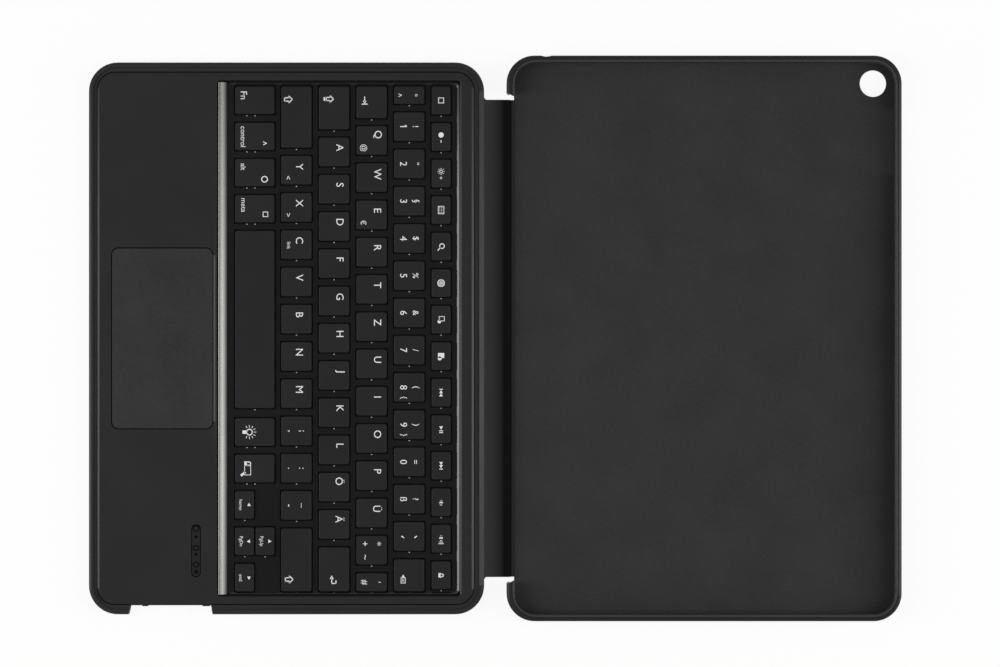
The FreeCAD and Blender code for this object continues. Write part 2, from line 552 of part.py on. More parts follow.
# Keys: node, front edge, depth, distance from the left end, width, pitch, count
KEYS = [
    ("keycap_fn", "Layout.front_row", "Sizes.front_row_deep", "0", "Sizes.front_wide", None, 1),
    ("keycap_control", "Layout.front_row", "Sizes.front_row_deep", "Sizes.front_pitch",
     "Sizes.front_wide", None, 1),
    ("keycap_alt", "Layout.front_row", "Sizes.front_row_deep", "2 * Sizes.front_pitch",
     "Sizes.front_wide", None, 1),
    ("keycap_meta", "Layout.front_row", "Sizes.front_row_deep", "3 * Sizes.front_pitch",
     "Sizes.front_wide", None, 1),
    ("keycap_space", "Layout.front_row", "Sizes.front_row_deep", "Sizes.space_at",
     "Layout.space_wide", None, 1),
    ("keycap_backlight", "Layout.front_row", "Sizes.front_row_deep", "Layout.cluster_at",
     "Sizes.function_wide", None, 1),
    ("keycap_touchpad_lock", "Layout.front_row", "Sizes.front_row_deep",
     "Layout.cluster_at + Sizes.cluster_pitch", "Sizes.function_wide", None, 1),
    ("keycap_arrow_left", "Layout.front_row", "Layout.arrow_deep",
     "Layout.cluster_at + 2 * Sizes.cluster_pitch", "Sizes.function_wide", None, 1),
    ("keycap_arrow_down", "Layout.front_row", "Layout.arrow_deep",
     "Layout.cluster_at + 3 * Sizes.cluster_pitch", "Sizes.function_wide", None, 1),
    ("keycap_arrow_up", "Layout.arrow_rear_at", "Layout.arrow_deep",
     "Layout.cluster_at + 3 * Sizes.cluster_pitch", "Sizes.function_wide", None, 1),
    ("keycap_arrow_right", "Layout.front_row", "Layout.arrow_deep",
     "Layout.cluster_at + 4 * Sizes.cluster_pitch", "Sizes.function_wide", None, 1),
    ("keycap_left_shift", "Layout.bottom_row", "Layout.key_deep", "0", "Sizes.shift_wide", None, 1),
    ("keycaps_bottom_letters", "Layout.bottom_row", "Layout.key_deep", "Sizes.bottom_at",
     "Sizes.key_wide", "Layout.key_pitch", 10),
    ("keycap_right_shift", "Layout.bottom_row", "Layout.key_deep", "Layout.right_shift_at",
     "Layout.right_shift_wide", None, 1),
    ("keycap_caps_lock", "Layout.home_row", "Layout.key_deep", "0", "Sizes.caps_wide", None, 1),
    ("keycaps_home_letters", "Layout.home_row", "Layout.key_deep", "Sizes.home_at",
     "Sizes.key_wide", "Layout.key_pitch", 11),
    ("keycap_enter", "Layout.home_row", "Layout.key_deep", "Layout.enter_at", "Layout.enter_wide", None, 1),
    ("keycap_tab", "Layout.top_row", "Layout.key_deep", "0", "Sizes.tab_wide", None, 1),
    ("keycaps_top_letters", "Layout.top_row", "Layout.key_deep", "Sizes.top_at",
     "Sizes.key_wide", "Layout.key_pitch", 12),
    ("keycap_hash", "Layout.top_row", "Layout.key_deep", "Layout.hash_at", "Layout.hash_wide", None, 1),
    ("keycap_caret", "Layout.digit_row", "Layout.key_deep", "0", "Sizes.caret_wide", None, 1),
    ("keycaps_digits", "Layout.digit_row", "Layout.key_deep", "Sizes.digits_at",
     "Sizes.key_wide", "Layout.key_pitch", 12),
    ("keycap_backspace", "Layout.digit_row", "Layout.key_deep", "Layout.backspace_at",
     "Sizes.backspace_wide", None, 1),
    ("keycaps_function", "Layout.function_row", "Sizes.function_deep", "0",
     "Sizes.function_wide", "Layout.function_pitch", 14),
]

# Black lattice with a raised ledge on three sides, which slopes at the rear, and a hole for each key;
# the up and down arrows share one hole
lattice = keep(body("key_lattice"))
slab = block(lattice, ("Layout.lattice_middle", "0", "Layout.membrane_top"), "Layout.lattice_deep",
             "Layout.lattice_long", "Layout.ledge_top - Layout.membrane_top", "Sizes.well_corner")
dress(lattice, slab, ("Layout.ledge_top",), "Sizes.lattice_edge")
DEPTH = "Sizes.lattice_height - Layout.membrane_top"
field = sketch(lattice, ("Layout.lattice_rear", "Layout.membrane_top", "0"), "XZ_Plane")
add_polygon(field, [
    ("-Layout.lattice_deep - 1", DEPTH), ("-Sizes.ledge_flat - Sizes.ledge_slope", DEPTH),
    ("-Sizes.ledge_flat", DEPTH + " + Sizes.ledge_rise"),
    ("-Layout.lattice_deep - 1", DEPTH + " + Sizes.ledge_rise")])
cut(lattice, field, "Layout.lattice_long - 2 * Sizes.ledge_side", middle=True)
single = sketch(lattice, ("0", "Layout.block_side", "Sizes.lattice_height"))
rows = []
for node, front, deep, start, wide, pitch, count in KEYS:
    if node == "keycap_arrow_up":
        continue
    hole_deep = "Sizes.front_row_deep" if node == "keycap_arrow_down" else deep
    middle = "%s + (%s) / 2" % (front, hole_deep)
    aside = "-(%s) - (%s) / 2" % (start, wide)
    grown_deep = "%s + 2 * (Layout.key_flare + Sizes.key_clear)" % hole_deep
    grown_wide = "%s + 2 * (Layout.key_flare + Sizes.key_clear)" % wide
    if count == 1:
        add_rectangle(single, grown_deep, grown_wide, (middle, aside))
    else:
        rows.append((middle, "Layout.block_side" + aside, grown_deep, grown_wide, pitch, count))
cut(lattice, single, DEPTH)
for middle, aside, grown_deep, grown_wide, pitch, count in rows:
    hole = pocket(lattice, (middle, aside, "Sizes.lattice_height"), grown_deep, grown_wide, DEPTH)
    repeat(lattice, [hole], pitch, count)

# Rubber domes under the keys, and the hollow keycaps that rest on them
domes = keep(body("rubber_domes"))
HEXAGON = [("%.4f * Sizes.dome_foot" % math.cos(math.radians(60 * i + 30)),
            "%.4f * Sizes.dome_foot" % math.sin(math.radians(60 * i + 30))) for i in range(6)]
for node, front, deep, start, wide, pitch, count in KEYS:
    middle = "%s + (%s) / 2" % (front, deep)
    aside = "Layout.block_side - (%s) - (%s) / 2" % (start, wide)
    cap = keep(body(node))
    crown = block(cap, (middle, aside, "Sizes.key_bottom"), "%s + 2 * Layout.key_flare" % deep,
                  "%s + 2 * Layout.key_flare" % wide, "Sizes.key_top - Sizes.key_bottom",
                  "Sizes.key_corner", add_cut_corner, "-Sizes.key_taper")
    hollow = pocket(cap, (middle, aside, "Sizes.key_top - Sizes.key_roof"),
                    "%s - 2 * Sizes.key_skirt" % deep, "%s - 2 * Sizes.key_skirt" % wide,
                    "Sizes.key_top - Sizes.key_roof - Sizes.key_bottom")
    foot = sketch(domes, (middle, aside, "Layout.membrane_top"))
    add_polygon(foot, HEXAGON)
    dome = pad(domes, foot, "Sizes.key_top - Sizes.key_roof - Layout.membrane_top")
    if count > 1:
        repeat(cap, [crown, hollow], pitch, count)
        repeat(domes, [dome], pitch, count)

# Touchpad: cover plate on a carrier that tilts on two pins near the bar
plate = keep(body("touchpad_plate"))
block(plate, ("Layout.pad_middle", "0", "Layout.carrier_top"), "Sizes.pad_deep", "Sizes.pad_wide",
      "Sizes.pad_thick", "Sizes.pad_corner")
carrier = keep(body("touchpad_carrier"))
block(carrier, ("Layout.pad_middle", "0", "Layout.carrier_under"), "Sizes.pad_deep - 0.6",
      "Sizes.pad_wide - 1.2", "Sizes.carrier_thick", "Sizes.pad_corner - 1", add_cut_corner)
pin = sketch(carrier, ("Layout.pin_at", "Sizes.pin_height", "0"), "XZ_Plane")
add_circle(pin, "Sizes.pin_radius")
pad(carrier, pin, "Sizes.pad_wide - 1.2 + 2 * Sizes.pin_long", middle=True)
click = keep(body("touchpad_switch"))
block(click, ("Layout.pad_middle - Sizes.pad_deep / 2 + 6", "0", "Layout.floor_top"), "5", "5", "1.5")
knop = sketch(click, ("Layout.pad_middle - Sizes.pad_deep / 2 + 6", "0", "Layout.floor_top + 1.5"))
add_rectangle(knop, "2.4", "2.4")
pad(click, knop, "Layout.carrier_under - Layout.floor_top - 2")

# Indicator window with a ledge glued under the palm rest, and its lamps on the board
lens = keep(body("indicator_lens"))
block(lens, ("Layout.lens_middle", "-Layout.lens_side", "Layout.roof_under - 0.4"),
      "Sizes.lens_deep + 2 * Sizes.lens_ledge", "Sizes.lens_long + 2 * Sizes.lens_ledge", "0.4")
block(lens, ("Layout.lens_middle", "-Layout.lens_side", "Layout.roof_under"), "Sizes.lens_deep",
      "Sizes.lens_long", "Sizes.roof_thick - 0.05", "Sizes.lens_deep / 2 - 0.01")
LAMP_STEP = 5.6
lamps = []
for step in range(4):
    offset = LAMP_STEP * (step - 1.5)
    lamps.append(box("lamp", ("Layout.lens_middle - 0.8", "-Layout.lens_side + %.2f" % (offset - 0.4),
                              "Layout.board_top"), ("1.6", "0.8", "0.6")))
keep(group("indicator_leds", lamps))

# Circuit board on two ribs, with a gap in its edge for the charging socket
board = keep(body("main_board"))
block(board, ("Layout.board_middle", "Layout.board_edge + Layout.board_long / 2", "Layout.board_under"),
      "Sizes.board_deep", "Layout.board_long", "Sizes.board_thick")
pocket(board, ("Layout.notch_middle", "Layout.board_edge + 2", "Layout.board_top"),
       "Sizes.socket_wide", "4.4", "Sizes.board_thick")
socket = keep(body("charge_socket"))
DRAWN = "Layout.unit_side - 0.1"
skin = sketch(socket, ("Layout.notch_middle", "Layout.socket_height", DRAWN + " - Sizes.socket_deep / 2"),
              "XZ_Plane")
add_rounded(skin, "Sizes.socket_wide", "Sizes.socket_tall", "Sizes.socket_tall / 2 - 0.01")
pad(socket, skin, "Sizes.socket_deep", middle=True)
mouth = sketch(socket, ("Layout.notch_middle", "Layout.socket_height", DRAWN), "XZ_Plane")
add_rounded(mouth, "Sizes.socket_wide - 2 * Sizes.socket_skin", "Sizes.socket_tall - 2 * Sizes.socket_skin",
            "Sizes.socket_tall / 2 - Sizes.socket_skin - 0.01")
cut(socket, mouth, "2 * (Sizes.socket_deep - 1)", middle=True)
tongue = sketch(socket, ("Layout.notch_middle", "Layout.socket_height", DRAWN + " - Sizes.socket_deep + 1"),
                "XZ_Plane")
add_rectangle(tongue, "6.7", "0.7")
pad(socket, tongue, "5")

# Slide switch and push button in the side wall
INNER = "-Layout.bay_side"
keep(box("power_switch_body", ("Layout.knob_at - 4.4", INNER + " + 1", "Layout.board_top"),
         ("8.8", "3", "1.8")))
knob = keep(body("power_switch_knob"))
stem = sketch(knob, ("Layout.knob_at - Sizes.knob_travel / 2", "Layout.knob_height", "Layout.bay_side"),
              "XZ_Plane")
add_rectangle(stem, "Sizes.knob_wide", "Sizes.knob_tall")
pad(knob, stem, "Sizes.side_wall + Sizes.knob_proud")
foot = sketch(knob, ("Layout.knob_at - Sizes.knob_travel / 2", "Layout.knob_height",
                     "Layout.bay_side - 1"), "XZ_Plane")
add_rectangle(foot, "Sizes.knob_wide + 1.2", "Sizes.knob_tall + 0.3")
pad(knob, foot, "1")
button = keep(body("pair_button"))
stem = sketch(button, ("Layout.button_at", "Layout.button_height", "Layout.bay_side - 0.2"), "XZ_Plane")
add_cut_corner(stem, "Sizes.button_wide", "Sizes.button_tall", "0.29 * Sizes.button_tall")
pad(button, stem, "Sizes.side_wall + Sizes.knob_proud + 0.2")
foot = sketch(button, ("Layout.button_at", "Layout.button_height", "Layout.bay_side - 0.35"), "XZ_Plane")
add_rectangle(foot, "Sizes.button_wide + 1", "Sizes.button_tall + 0.5")
pad(button, foot, "0.7", middle=True)
keep(box("pair_switch", ("Layout.button_at - 2",
                         INNER + " + 0.7 + Sizes.button_travel + Sizes.button_clear",
                         "Layout.board_top"),
         ("4", "3", "1.8")))

# Battery and the two magnets
keep(box("battery_cell", ("Layout.palm_front + Sizes.cell_inset",
                          "Layout.bay_side - Sizes.cell_aside - Layout.cell_long", "Layout.floor_top"),
         ("Sizes.cell_deep", "Layout.cell_long", "Sizes.cell_thick")))
magnets = []
for side in (1, -1):
    magnets.append(box("magnet", (
        "(Layout.well_rear + Layout.unit_rear) / 2 - Sizes.magnet_deep / 2",
        "%d * Sizes.magnet_apart / 2 - Sizes.magnet_long / 2" % side,
        "Sizes.split_height - Sizes.magnet_thick"),
        ("Sizes.magnet_deep", "Sizes.magnet_long", "Sizes.magnet_thick")))
keep(group("wake_magnets", magnets))

# Soft spine: a web with a round bead on each fold
spine = keep(body("spine_panel"))
web = sketch(spine, ("(Layout.fold_deck + Layout.fold_shell) / 2", "Layout.fold_height", "0"), "XZ_Plane")
add_rectangle(web, "Layout.fold_span", "Sizes.web_thick")
pad(spine, web, "Sizes.spine_long", middle=True)
for fold in ("Layout.fold_deck", "Layout.fold_shell"):
    bead = sketch(spine, (fold, "Layout.fold_height", "0"), "XZ_Plane")
    add_circle(bead, "Sizes.bead_radius")
    pad(spine, bead, "Sizes.spine_long", middle=True)

# Device shell: back plate with the cradle of the second fold, and a slit beside each end of the spine
CAVITY = "2 * Sizes.shell_wall"
back = keep(body("shell_back"))
block(back, ("Layout.shell_middle", "0", "0"), "Layout.shell_short - " + CAVITY,
      "Layout.shell_long - " + CAVITY, "Sizes.back_thick", "Sizes.shell_corner - Sizes.shell_wall")
rail = sketch(back, ("Layout.fold_shell", "0.001", "0"), "XZ_Plane")
add_polygon(rail, [
    ("-0.1", "Layout.fold_height - 1.7"), ("1.2", "-0.001"), ("Sizes.shell_wall + 0.4", "-0.001"),
    ("Sizes.shell_wall + 0.2", "Layout.fold_height - 0.001"), ("0.4", "Layout.fold_height - 0.001"),
    ("-0.2", "Layout.fold_height - 0.3")])
pad(back, rail, "Sizes.spine_long", middle=True)
seat = sketch(back, ("Layout.fold_shell", "Layout.fold_height", "0"), "XZ_Plane")
add_circle(seat, "Sizes.bead_radius + Sizes.bead_clear")
cut(back, seat, "Sizes.spine_long + 1", middle=True)
slit = pocket(back, ("Layout.shell_near + Sizes.slit_deep / 2", "Layout.slit_at", "Sizes.back_thick"),
              "Sizes.slit_deep", "Sizes.slit_wide", "Sizes.back_thick")
mirror(back, [slit])


def camera_hole(owner):
    made = sketch(owner, ("Layout.shell_far - Sizes.camera_inset",
                          "Layout.shell_long / 2 - Sizes.camera_inset",
                          "Sizes.back_thick + Sizes.lining_thick"))
    add_circle(made, "Sizes.camera_radius")
    cut(owner, made, "Sizes.back_thick + Sizes.lining_thick")


camera_hole(back)
lining = keep(body("shell_lining"))
block(lining, ("(Layout.lining_near + Layout.lining_far) / 2", "0", "Sizes.back_thick"),
      "Layout.lining_far - Layout.lining_near", "Sizes.device_long - 0.4", "Sizes.lining_thick",
      "Sizes.shell_corner - Sizes.shell_wall - 0.6")
camera_hole(lining)

# Bumper round the device: wall, stepped lip, open side at the spine, holes in the wall and a scoop at the jack
bumper = keep(body("shell_bumper"))
slab = block(bumper, ("Layout.shell_middle", "0", "0"), "Layout.shell_short", "Layout.shell_long",
             "Layout.shell_height", "Sizes.shell_corner")
dress(bumper, slab, ("Layout.shell_height", "0"), "Sizes.shell_edge")
pocket(bumper, ("Layout.shell_middle", "0", "Layout.lip_height"), "Layout.shell_short - " + CAVITY,
       "Layout.shell_long - " + CAVITY, "Layout.lip_height", "Sizes.shell_corner - Sizes.shell_wall")
pocket(bumper, ("Layout.shell_middle", "0", "Layout.shell_height"),
       "Layout.shell_short - 2 * (Sizes.shell_wall + Sizes.lip_reach)",
       "Layout.shell_long - 2 * (Sizes.shell_wall + Sizes.lip_reach)", "Sizes.lip_thick",
       "Sizes.shell_corner - Sizes.shell_wall - Sizes.lip_reach")
pocket(bumper, ("Layout.shell_middle + Sizes.step_near / 2", "0", "Layout.shell_height"),
       "Layout.shell_short - 2 * Sizes.step_in - Sizes.step_near", "Layout.shell_long - 2 * Sizes.step_in",
       "Sizes.step_down", "Sizes.shell_corner - Sizes.step_in")
gap = sketch(bumper, ("Layout.shell_near", "0", "Layout.shell_height"))
add_polygon(gap, [
    ("-1", "-Layout.spine_opening / 2 - Sizes.tip_slant - 0.5"),
    ("6", "-Layout.spine_opening / 2 + Sizes.tip_slant"),
    ("6", "Layout.spine_opening / 2 - Sizes.tip_slant"),
    ("-1", "Layout.spine_opening / 2 + Sizes.tip_slant + 0.5")])
cut(bumper, gap, "Layout.shell_height")
MID_HEIGHT = "(Sizes.back_thick + Layout.lip_height) / 2 + 0.2"
END = "Layout.shell_long / 2 - Sizes.shell_wall / 2"
for along, wide, tall, aside in (
        ("Layout.shell_middle", "Sizes.port_wide", "Sizes.port_tall", END),
        ("Layout.shell_middle - 42", "22", "2.4", END),
        ("Layout.shell_middle + 42", "22", "2.4", END),
        ("Layout.shell_near + Sizes.jack_at", "7", "5", "-(" + END + ")"),
        ("Layout.shell_far - 25", "16", "3.4", "-(" + END + ")")):
    made = outline(bumper, (along, MID_HEIGHT, aside), wide, tall, "0.29 * (%s)" % tall, add_cut_corner,
                   "XZ_Plane")
    cut(bumper, made, "Sizes.shell_wall + 0.6", middle=True)
made = outline(bumper, ("88", MID_HEIGHT, "Layout.shell_far - Sizes.shell_wall / 2"), "30", "3.4", "1",
               add_cut_corner, "YZ_Plane")
cut(bumper, made, "Sizes.shell_wall + 0.6", middle=True)
scoop = sketch(bumper, ("Layout.shell_near + Sizes.jack_at",
                        "Layout.shell_long / 2 + Sizes.scoop_radius - Sizes.scoop_deep", "Layout.shell_height"))
add_circle(scoop, "Sizes.scoop_radius")
cut(bumper, scoop, "Layout.shell_height")

# Every shape is checked before it is written
doc.recompute()
for item in doc.Objects:
    if "Invalid" in item.State or "Error" in item.State:
        raise RuntimeError("%s: %s" % (item.Label, item.State))
os.makedirs("parts", exist_ok=True)
for node in NODES:
    if node.Shape.isNull() or not node.Shape.isValid():
        raise RuntimeError(node.Label + " has no sound shape")
    node.Shape.exportStep("parts/%s.step" % node.Label)
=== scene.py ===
# %% [markdown]
# This lesson dresses a folding keyboard case for a tablet-size device. The case lies open and flat: the
# keyboard deck on the left, a soft spine in the middle and the device shell on the right. The solids come
# ready measured, so the first step is only to load them as a frame that nothing may move.

# %% Load the frame
import math
import bmesh
import bpy
from mathutils import Matrix, Vector


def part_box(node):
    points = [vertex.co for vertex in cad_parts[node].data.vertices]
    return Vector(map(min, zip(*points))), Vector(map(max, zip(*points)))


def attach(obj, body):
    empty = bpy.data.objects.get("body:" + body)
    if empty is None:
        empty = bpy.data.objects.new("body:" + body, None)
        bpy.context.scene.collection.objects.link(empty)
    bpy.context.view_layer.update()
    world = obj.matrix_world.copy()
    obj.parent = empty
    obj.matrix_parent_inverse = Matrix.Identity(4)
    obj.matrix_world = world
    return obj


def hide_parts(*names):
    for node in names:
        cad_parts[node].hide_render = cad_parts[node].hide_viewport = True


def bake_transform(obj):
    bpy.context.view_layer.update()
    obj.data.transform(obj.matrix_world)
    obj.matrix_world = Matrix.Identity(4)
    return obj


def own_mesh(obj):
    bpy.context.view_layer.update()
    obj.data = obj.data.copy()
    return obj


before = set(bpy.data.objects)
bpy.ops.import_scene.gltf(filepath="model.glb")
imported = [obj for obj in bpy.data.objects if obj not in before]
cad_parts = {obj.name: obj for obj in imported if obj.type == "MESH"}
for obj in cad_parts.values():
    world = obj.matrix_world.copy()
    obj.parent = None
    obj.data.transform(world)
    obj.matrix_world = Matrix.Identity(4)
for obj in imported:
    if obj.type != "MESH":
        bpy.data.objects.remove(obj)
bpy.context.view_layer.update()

MM = 0.001

# %% [markdown]
# The case is seen from straight above, from far enough away that its sides hardly show. A long lens at one
# and a half metres does that. Blender measures the lens against a 36 mm wide sensor, so the focal length
# follows from the width of the view.

# %% Camera
VIEW_WIDE = 451.0 * MM
VIEW_AWAY = 1.5
VIEW_CENTRE = (2.3 * MM, 2.2 * MM)
SENSOR = 36.0


def add_object(name, data):
    made = bpy.data.objects.new(name, data)
    bpy.context.collection.objects.link(made)
    return made


lens_data = bpy.data.cameras.new("view_from_above")
lens_data.sensor_width = SENSOR
lens_data.lens = SENSOR * VIEW_AWAY / VIEW_WIDE
camera = add_object("view_from_above", lens_data)
camera.location = (*VIEW_CENTRE, VIEW_AWAY)
bpy.context.scene.camera = camera
print("focal length: %.1f mm" % lens_data.lens)

# %% [markdown]
# The studio is a white room: a pale floor that keeps a soft shadow, and a world that is white to the eye and
# to reflections, but gives only part of the light. Two tall soft boxes stand left and right, because on the
# real case the slopes that face left and right are the bright ones, and a little towards the lower end of
# the picture, where those slopes are brightest. A helper places each shader node with its values and wires.

# %% Studio
AMBIENT = 0.3
FLOOR_GLOW = 0.9
FLOOR_SIZE = 3.0
FLOOR_DOWN = 0.2
WHITE = (1, 1, 1, 1)
PALE = (0.9, 0.9, 0.9, 1)
scene = bpy.context.scene
scene.view_settings.view_transform = "Standard"


def fill(tree, node, values):
    for label, value in values.items():
        if isinstance(value, bpy.types.Node):
            value = value.outputs[0]
        if isinstance(value, bpy.types.NodeSocket):
            tree.links.new(value, node.inputs[label])
        else:
            node.inputs[label].default_value = value


def add_node(tree, kind, values, **settings):
    node = tree.nodes.new("ShaderNode" + kind)
    for label, value in settings.items():
        setattr(node, label, value)
    fill(tree, node, values)
    return node


world = bpy.data.worlds.new("white_room")
world.use_nodes = True
scene.world = world
tree = world.node_tree
tree.nodes.clear()
path = add_node(tree, "LightPath", {}).outputs
eye = add_node(tree, "Math", {0: path["Is Camera Ray"], 1: path["Is Glossy Ray"]}, operation="MAXIMUM")
seen = add_node(tree, "Math", {0: eye, 1: path["Is Transmission Ray"]}, operation="MAXIMUM")
dim = add_node(tree, "Background", {"Color": WHITE, "Strength": AMBIENT})
white = add_node(tree, "Background", {"Color": WHITE})
both = add_node(tree, "MixShader", {0: seen, 1: dim, 2: white})
add_node(tree, "OutputWorld", {"Surface": both})

pale = bpy.data.materials.new("pale_floor")
pale.use_nodes = True
tree = pale.node_tree
tree.nodes.clear()
path = add_node(tree, "LightPath", {}).outputs
share = add_node(tree, "Math", {0: path["Is Camera Ray"], 1: FLOOR_GLOW}, operation="MULTIPLY")
matt = add_node(tree, "BsdfDiffuse", {"Color": PALE})
glow = add_node(tree, "Emission", {"Color": WHITE})
both = add_node(tree, "MixShader", {0: share, 1: matt, 2: glow})
add_node(tree, "OutputMaterial", {"Surface": both})

bm = bmesh.new()
bmesh.ops.create_grid(bm, x_segments=1, y_segments=1, size=FLOOR_SIZE)
floor_mesh = bpy.data.meshes.new("floor")
bm.to_mesh(floor_mesh)
bm.free()
floor_mesh.materials.append(pale)
floor = add_object("floor", floor_mesh)
floor.location.z = -FLOOR_DOWN * MM

SOFT_BOXES = (("left_box", (-0.95, -0.05, 0.58)), ("right_box", (0.95, -0.05, 0.58)))
BOX_WIDE, BOX_TALL = 0.4, 1.4
BOX_WATTS = 9.7
for name, place in SOFT_BOXES:
    lamp_data = bpy.data.lights.new(name, "AREA")
    lamp_data.shape = "RECTANGLE"
    lamp_data.size = BOX_WIDE
    lamp_data.size_y = BOX_TALL
    lamp_data.energy = BOX_WATTS
    lamp = add_object(name, lamp_data)
    lamp.location = place
    aim = Vector((0, place[1], 0)) - Vector(place)
    lamp.rotation_euler = aim.to_track_quat("-Z", "Y").to_euler()
print("studio: floor and", len(SOFT_BOXES), "soft boxes")

# %% [markdown]
# Moulded and coated plastics all have a fine grain and a little unevenness in tone. One node group makes
# both, with its own inputs for size and strength, and every finish places it with its own values. It gives
# out only a tone, a roughness and a height, so the shader itself stays in each material.

# %% Grain group
PATCH_SCALE = 38.0
FINE_SHARE = 0.55
NOISE_RANGE = {"From Min": 0.3, "From Max": 0.7}
SOCKETS = (("INPUT", "Color", ("Dark", "Light")), ("INPUT", "Float", ("Grain Size", "Smooth", "Rough")),
           ("OUTPUT", "Color", ("Colour",)), ("OUTPUT", "Float", ("Roughness", "Height")))


def grain_group():
    tree = bpy.data.node_groups.new("moulded_grain", "ShaderNodeTree")
    for way, kind, labels in SOCKETS:
        for label in labels:
            tree.interface.new_socket(label, in_out=way, socket_type="NodeSocket" + kind)
    inside = tree.nodes.new("NodeGroupInput").outputs
    outside = tree.nodes.new("NodeGroupOutput")
    place = add_node(tree, "TexCoord", {}).outputs["Object"]
    fine = add_node(tree, "TexNoise", {"Vector": place, "Scale": inside["Grain Size"], "Detail": 3.0})
    broad = add_node(tree, "TexNoise", {"Vector": place, "Scale": PATCH_SCALE, "Detail": 4.0})
    rest = add_node(tree, "Math", {0: broad, 1: 1 - FINE_SHARE}, operation="MULTIPLY")
    mixed = add_node(tree, "Math", {0: fine, 1: FINE_SHARE, 2: rest}, operation="MULTIPLY_ADD")
    spread = add_node(tree, "MapRange", {**NOISE_RANGE, "Value": mixed})
    tone = add_node(tree, "Mix", {"Factor": spread, "A": inside["Dark"], "B": inside["Light"]},
                    data_type="RGBA")
    polish = add_node(tree, "MapRange", {**NOISE_RANGE, "Value": broad, "To Min": inside["Smooth"],
                                         "To Max": inside["Rough"]})
    fill(tree, outside, {"Colour": tone.outputs["Result"], "Roughness": polish, "Height": fine})
    return tree


GRAIN = grain_group()
print("group:", GRAIN.name)

# %% [markdown]
# A finish is a Principled shader fed by the grain group. Colours are written as the plain grey they show
# under even light. The gloss level is low, because a soft-touch coat mirrors very little of a white room.

# %% Finishes of the case
RELIEF_DEEP = 0.1


def finish(name, dark, light, grain=2600.0, smooth=0.45, rough=0.6, bump=0.04, gloss=0.2, metal=0.0):
    made = bpy.data.materials.new(name)
    made.use_nodes = True
    tree = made.node_tree
    skin = add_node(tree, "Group", {"Dark": (*dark, 1), "Light": (*light, 1), "Grain Size": grain,
                                    "Smooth": smooth, "Rough": rough}, node_tree=GRAIN).outputs
    relief = add_node(tree, "Bump", {"Strength": bump, "Distance": RELIEF_DEEP * MM,
                                     "Height": skin["Height"]})
    fill(tree, tree.nodes["Principled BSDF"],
         {"Metallic": metal, "Specular IOR Level": gloss, "Base Color": skin["Colour"],
          "Roughness": skin["Roughness"], "Normal": relief})
    return made


def grey(level):
    return (level, level, level)


SOFT_COAT = finish("soft_coat", grey(0.010), grey(0.015), grain=3200, smooth=0.28, rough=0.36, bump=0.07,
                   gloss=0.17)
PALM_COAT = finish("palm_coat", grey(0.010), grey(0.014), grain=3600, smooth=0.19, rough=0.27, bump=0.04,
                   gloss=0.165)
KEY_PLASTIC = finish("key_plastic", grey(0.008), grey(0.012), grain=4200, smooth=0.28, rough=0.36, bump=0.05,
                     gloss=0.14)
LATTICE_PLASTIC = finish("lattice_plastic", grey(0.004), grey(0.007), smooth=0.26, rough=0.38, gloss=0.08)
print("finishes:", SOFT_COAT.name, PALM_COAT.name, KEY_PLASTIC.name, LATTICE_PLASTIC.name)

# %% [markdown]
# Most pieces of the case start as a block with round upright corners and softly rounded rims. The bevel
# operator makes both: first on the four upright edges, then on the rims. Openings are cut afterwards with
# Boolean modifiers, and a last narrow bevel breaks the edges that the cuts leave sharp.

# %% Block, cut and piece helpers
EDGE_ANGLE = math.radians(35)
TINY = 1e-6
# Cutters reach this far past the piece
PAST = 1.0


def round_edges(bm, edges, radius, steps):
    bmesh.ops.bevel(bm, geom=edges, offset=radius * MM, offset_type="OFFSET", segments=steps, profile=0.5,
                    affect="EDGES", material=-1, clamp_overlap=True)


def rim_edges(bm, height):
    level = height * MM
    return [e for e in bm.edges if all(abs(v.co.z - level) < TINY for v in e.verts)]


def slab(low, high, corner=0.0, top=0.0, under=0.0, corner_steps=9, rim_steps=4):
    low, high = Vector(low) * MM, Vector(high) * MM
    bm = bmesh.new()
    bmesh.ops.create_cube(bm, size=1.0)
    bmesh.ops.scale(bm, vec=high - low, verts=bm.verts)
    bmesh.ops.translate(bm, vec=(low + high) / 2, verts=bm.verts)
    if corner:
        upright = [e for e in bm.edges if abs(e.verts[0].co.z - e.verts[1].co.z) > TINY]
        round_edges(bm, upright, corner, corner_steps)
    if top:
        round_edges(bm, rim_edges(bm, high.z / MM), top, rim_steps)
    if under:
        round_edges(bm, rim_edges(bm, low.z / MM), under, rim_steps)
    return bm


def lift(bm, faces, way):
    raised = bmesh.ops.extrude_face_region(bm, geom=faces)["geom"]
    moved = [g for g in raised if isinstance(g, bmesh.types.BMVert)]
    bmesh.ops.translate(bm, vec=Vector(way) * MM, verts=moved)
    bmesh.ops.recalc_face_normals(bm, faces=bm.faces)
    return bm


def prism(points, low, high, axis):
    order = {"Y": lambda a, b: (a, low, b), "Z": lambda a, b: (a, b, low)}[axis]
    along = {"Y": (0, high - low, 0), "Z": (0, 0, high - low)}[axis]
    bm = bmesh.new()
    corners = [bm.verts.new(Vector(order(a, b)) * MM) for a, b in points]
    return lift(bm, [bm.faces.new(corners)], along)


def box_mm(node):
    return tuple(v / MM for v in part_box(node))


def hold(bm, name):
    mesh = bpy.data.meshes.new(name)
    bm.to_mesh(mesh)
    bm.free()
    return add_object(name, mesh)


def settle(made):
    bpy.context.view_layer.update()
    seen = made.evaluated_get(bpy.context.evaluated_depsgraph_get())
    mesh = bpy.data.meshes.new_from_object(seen)
    made.modifiers.clear()
    made.data = mesh


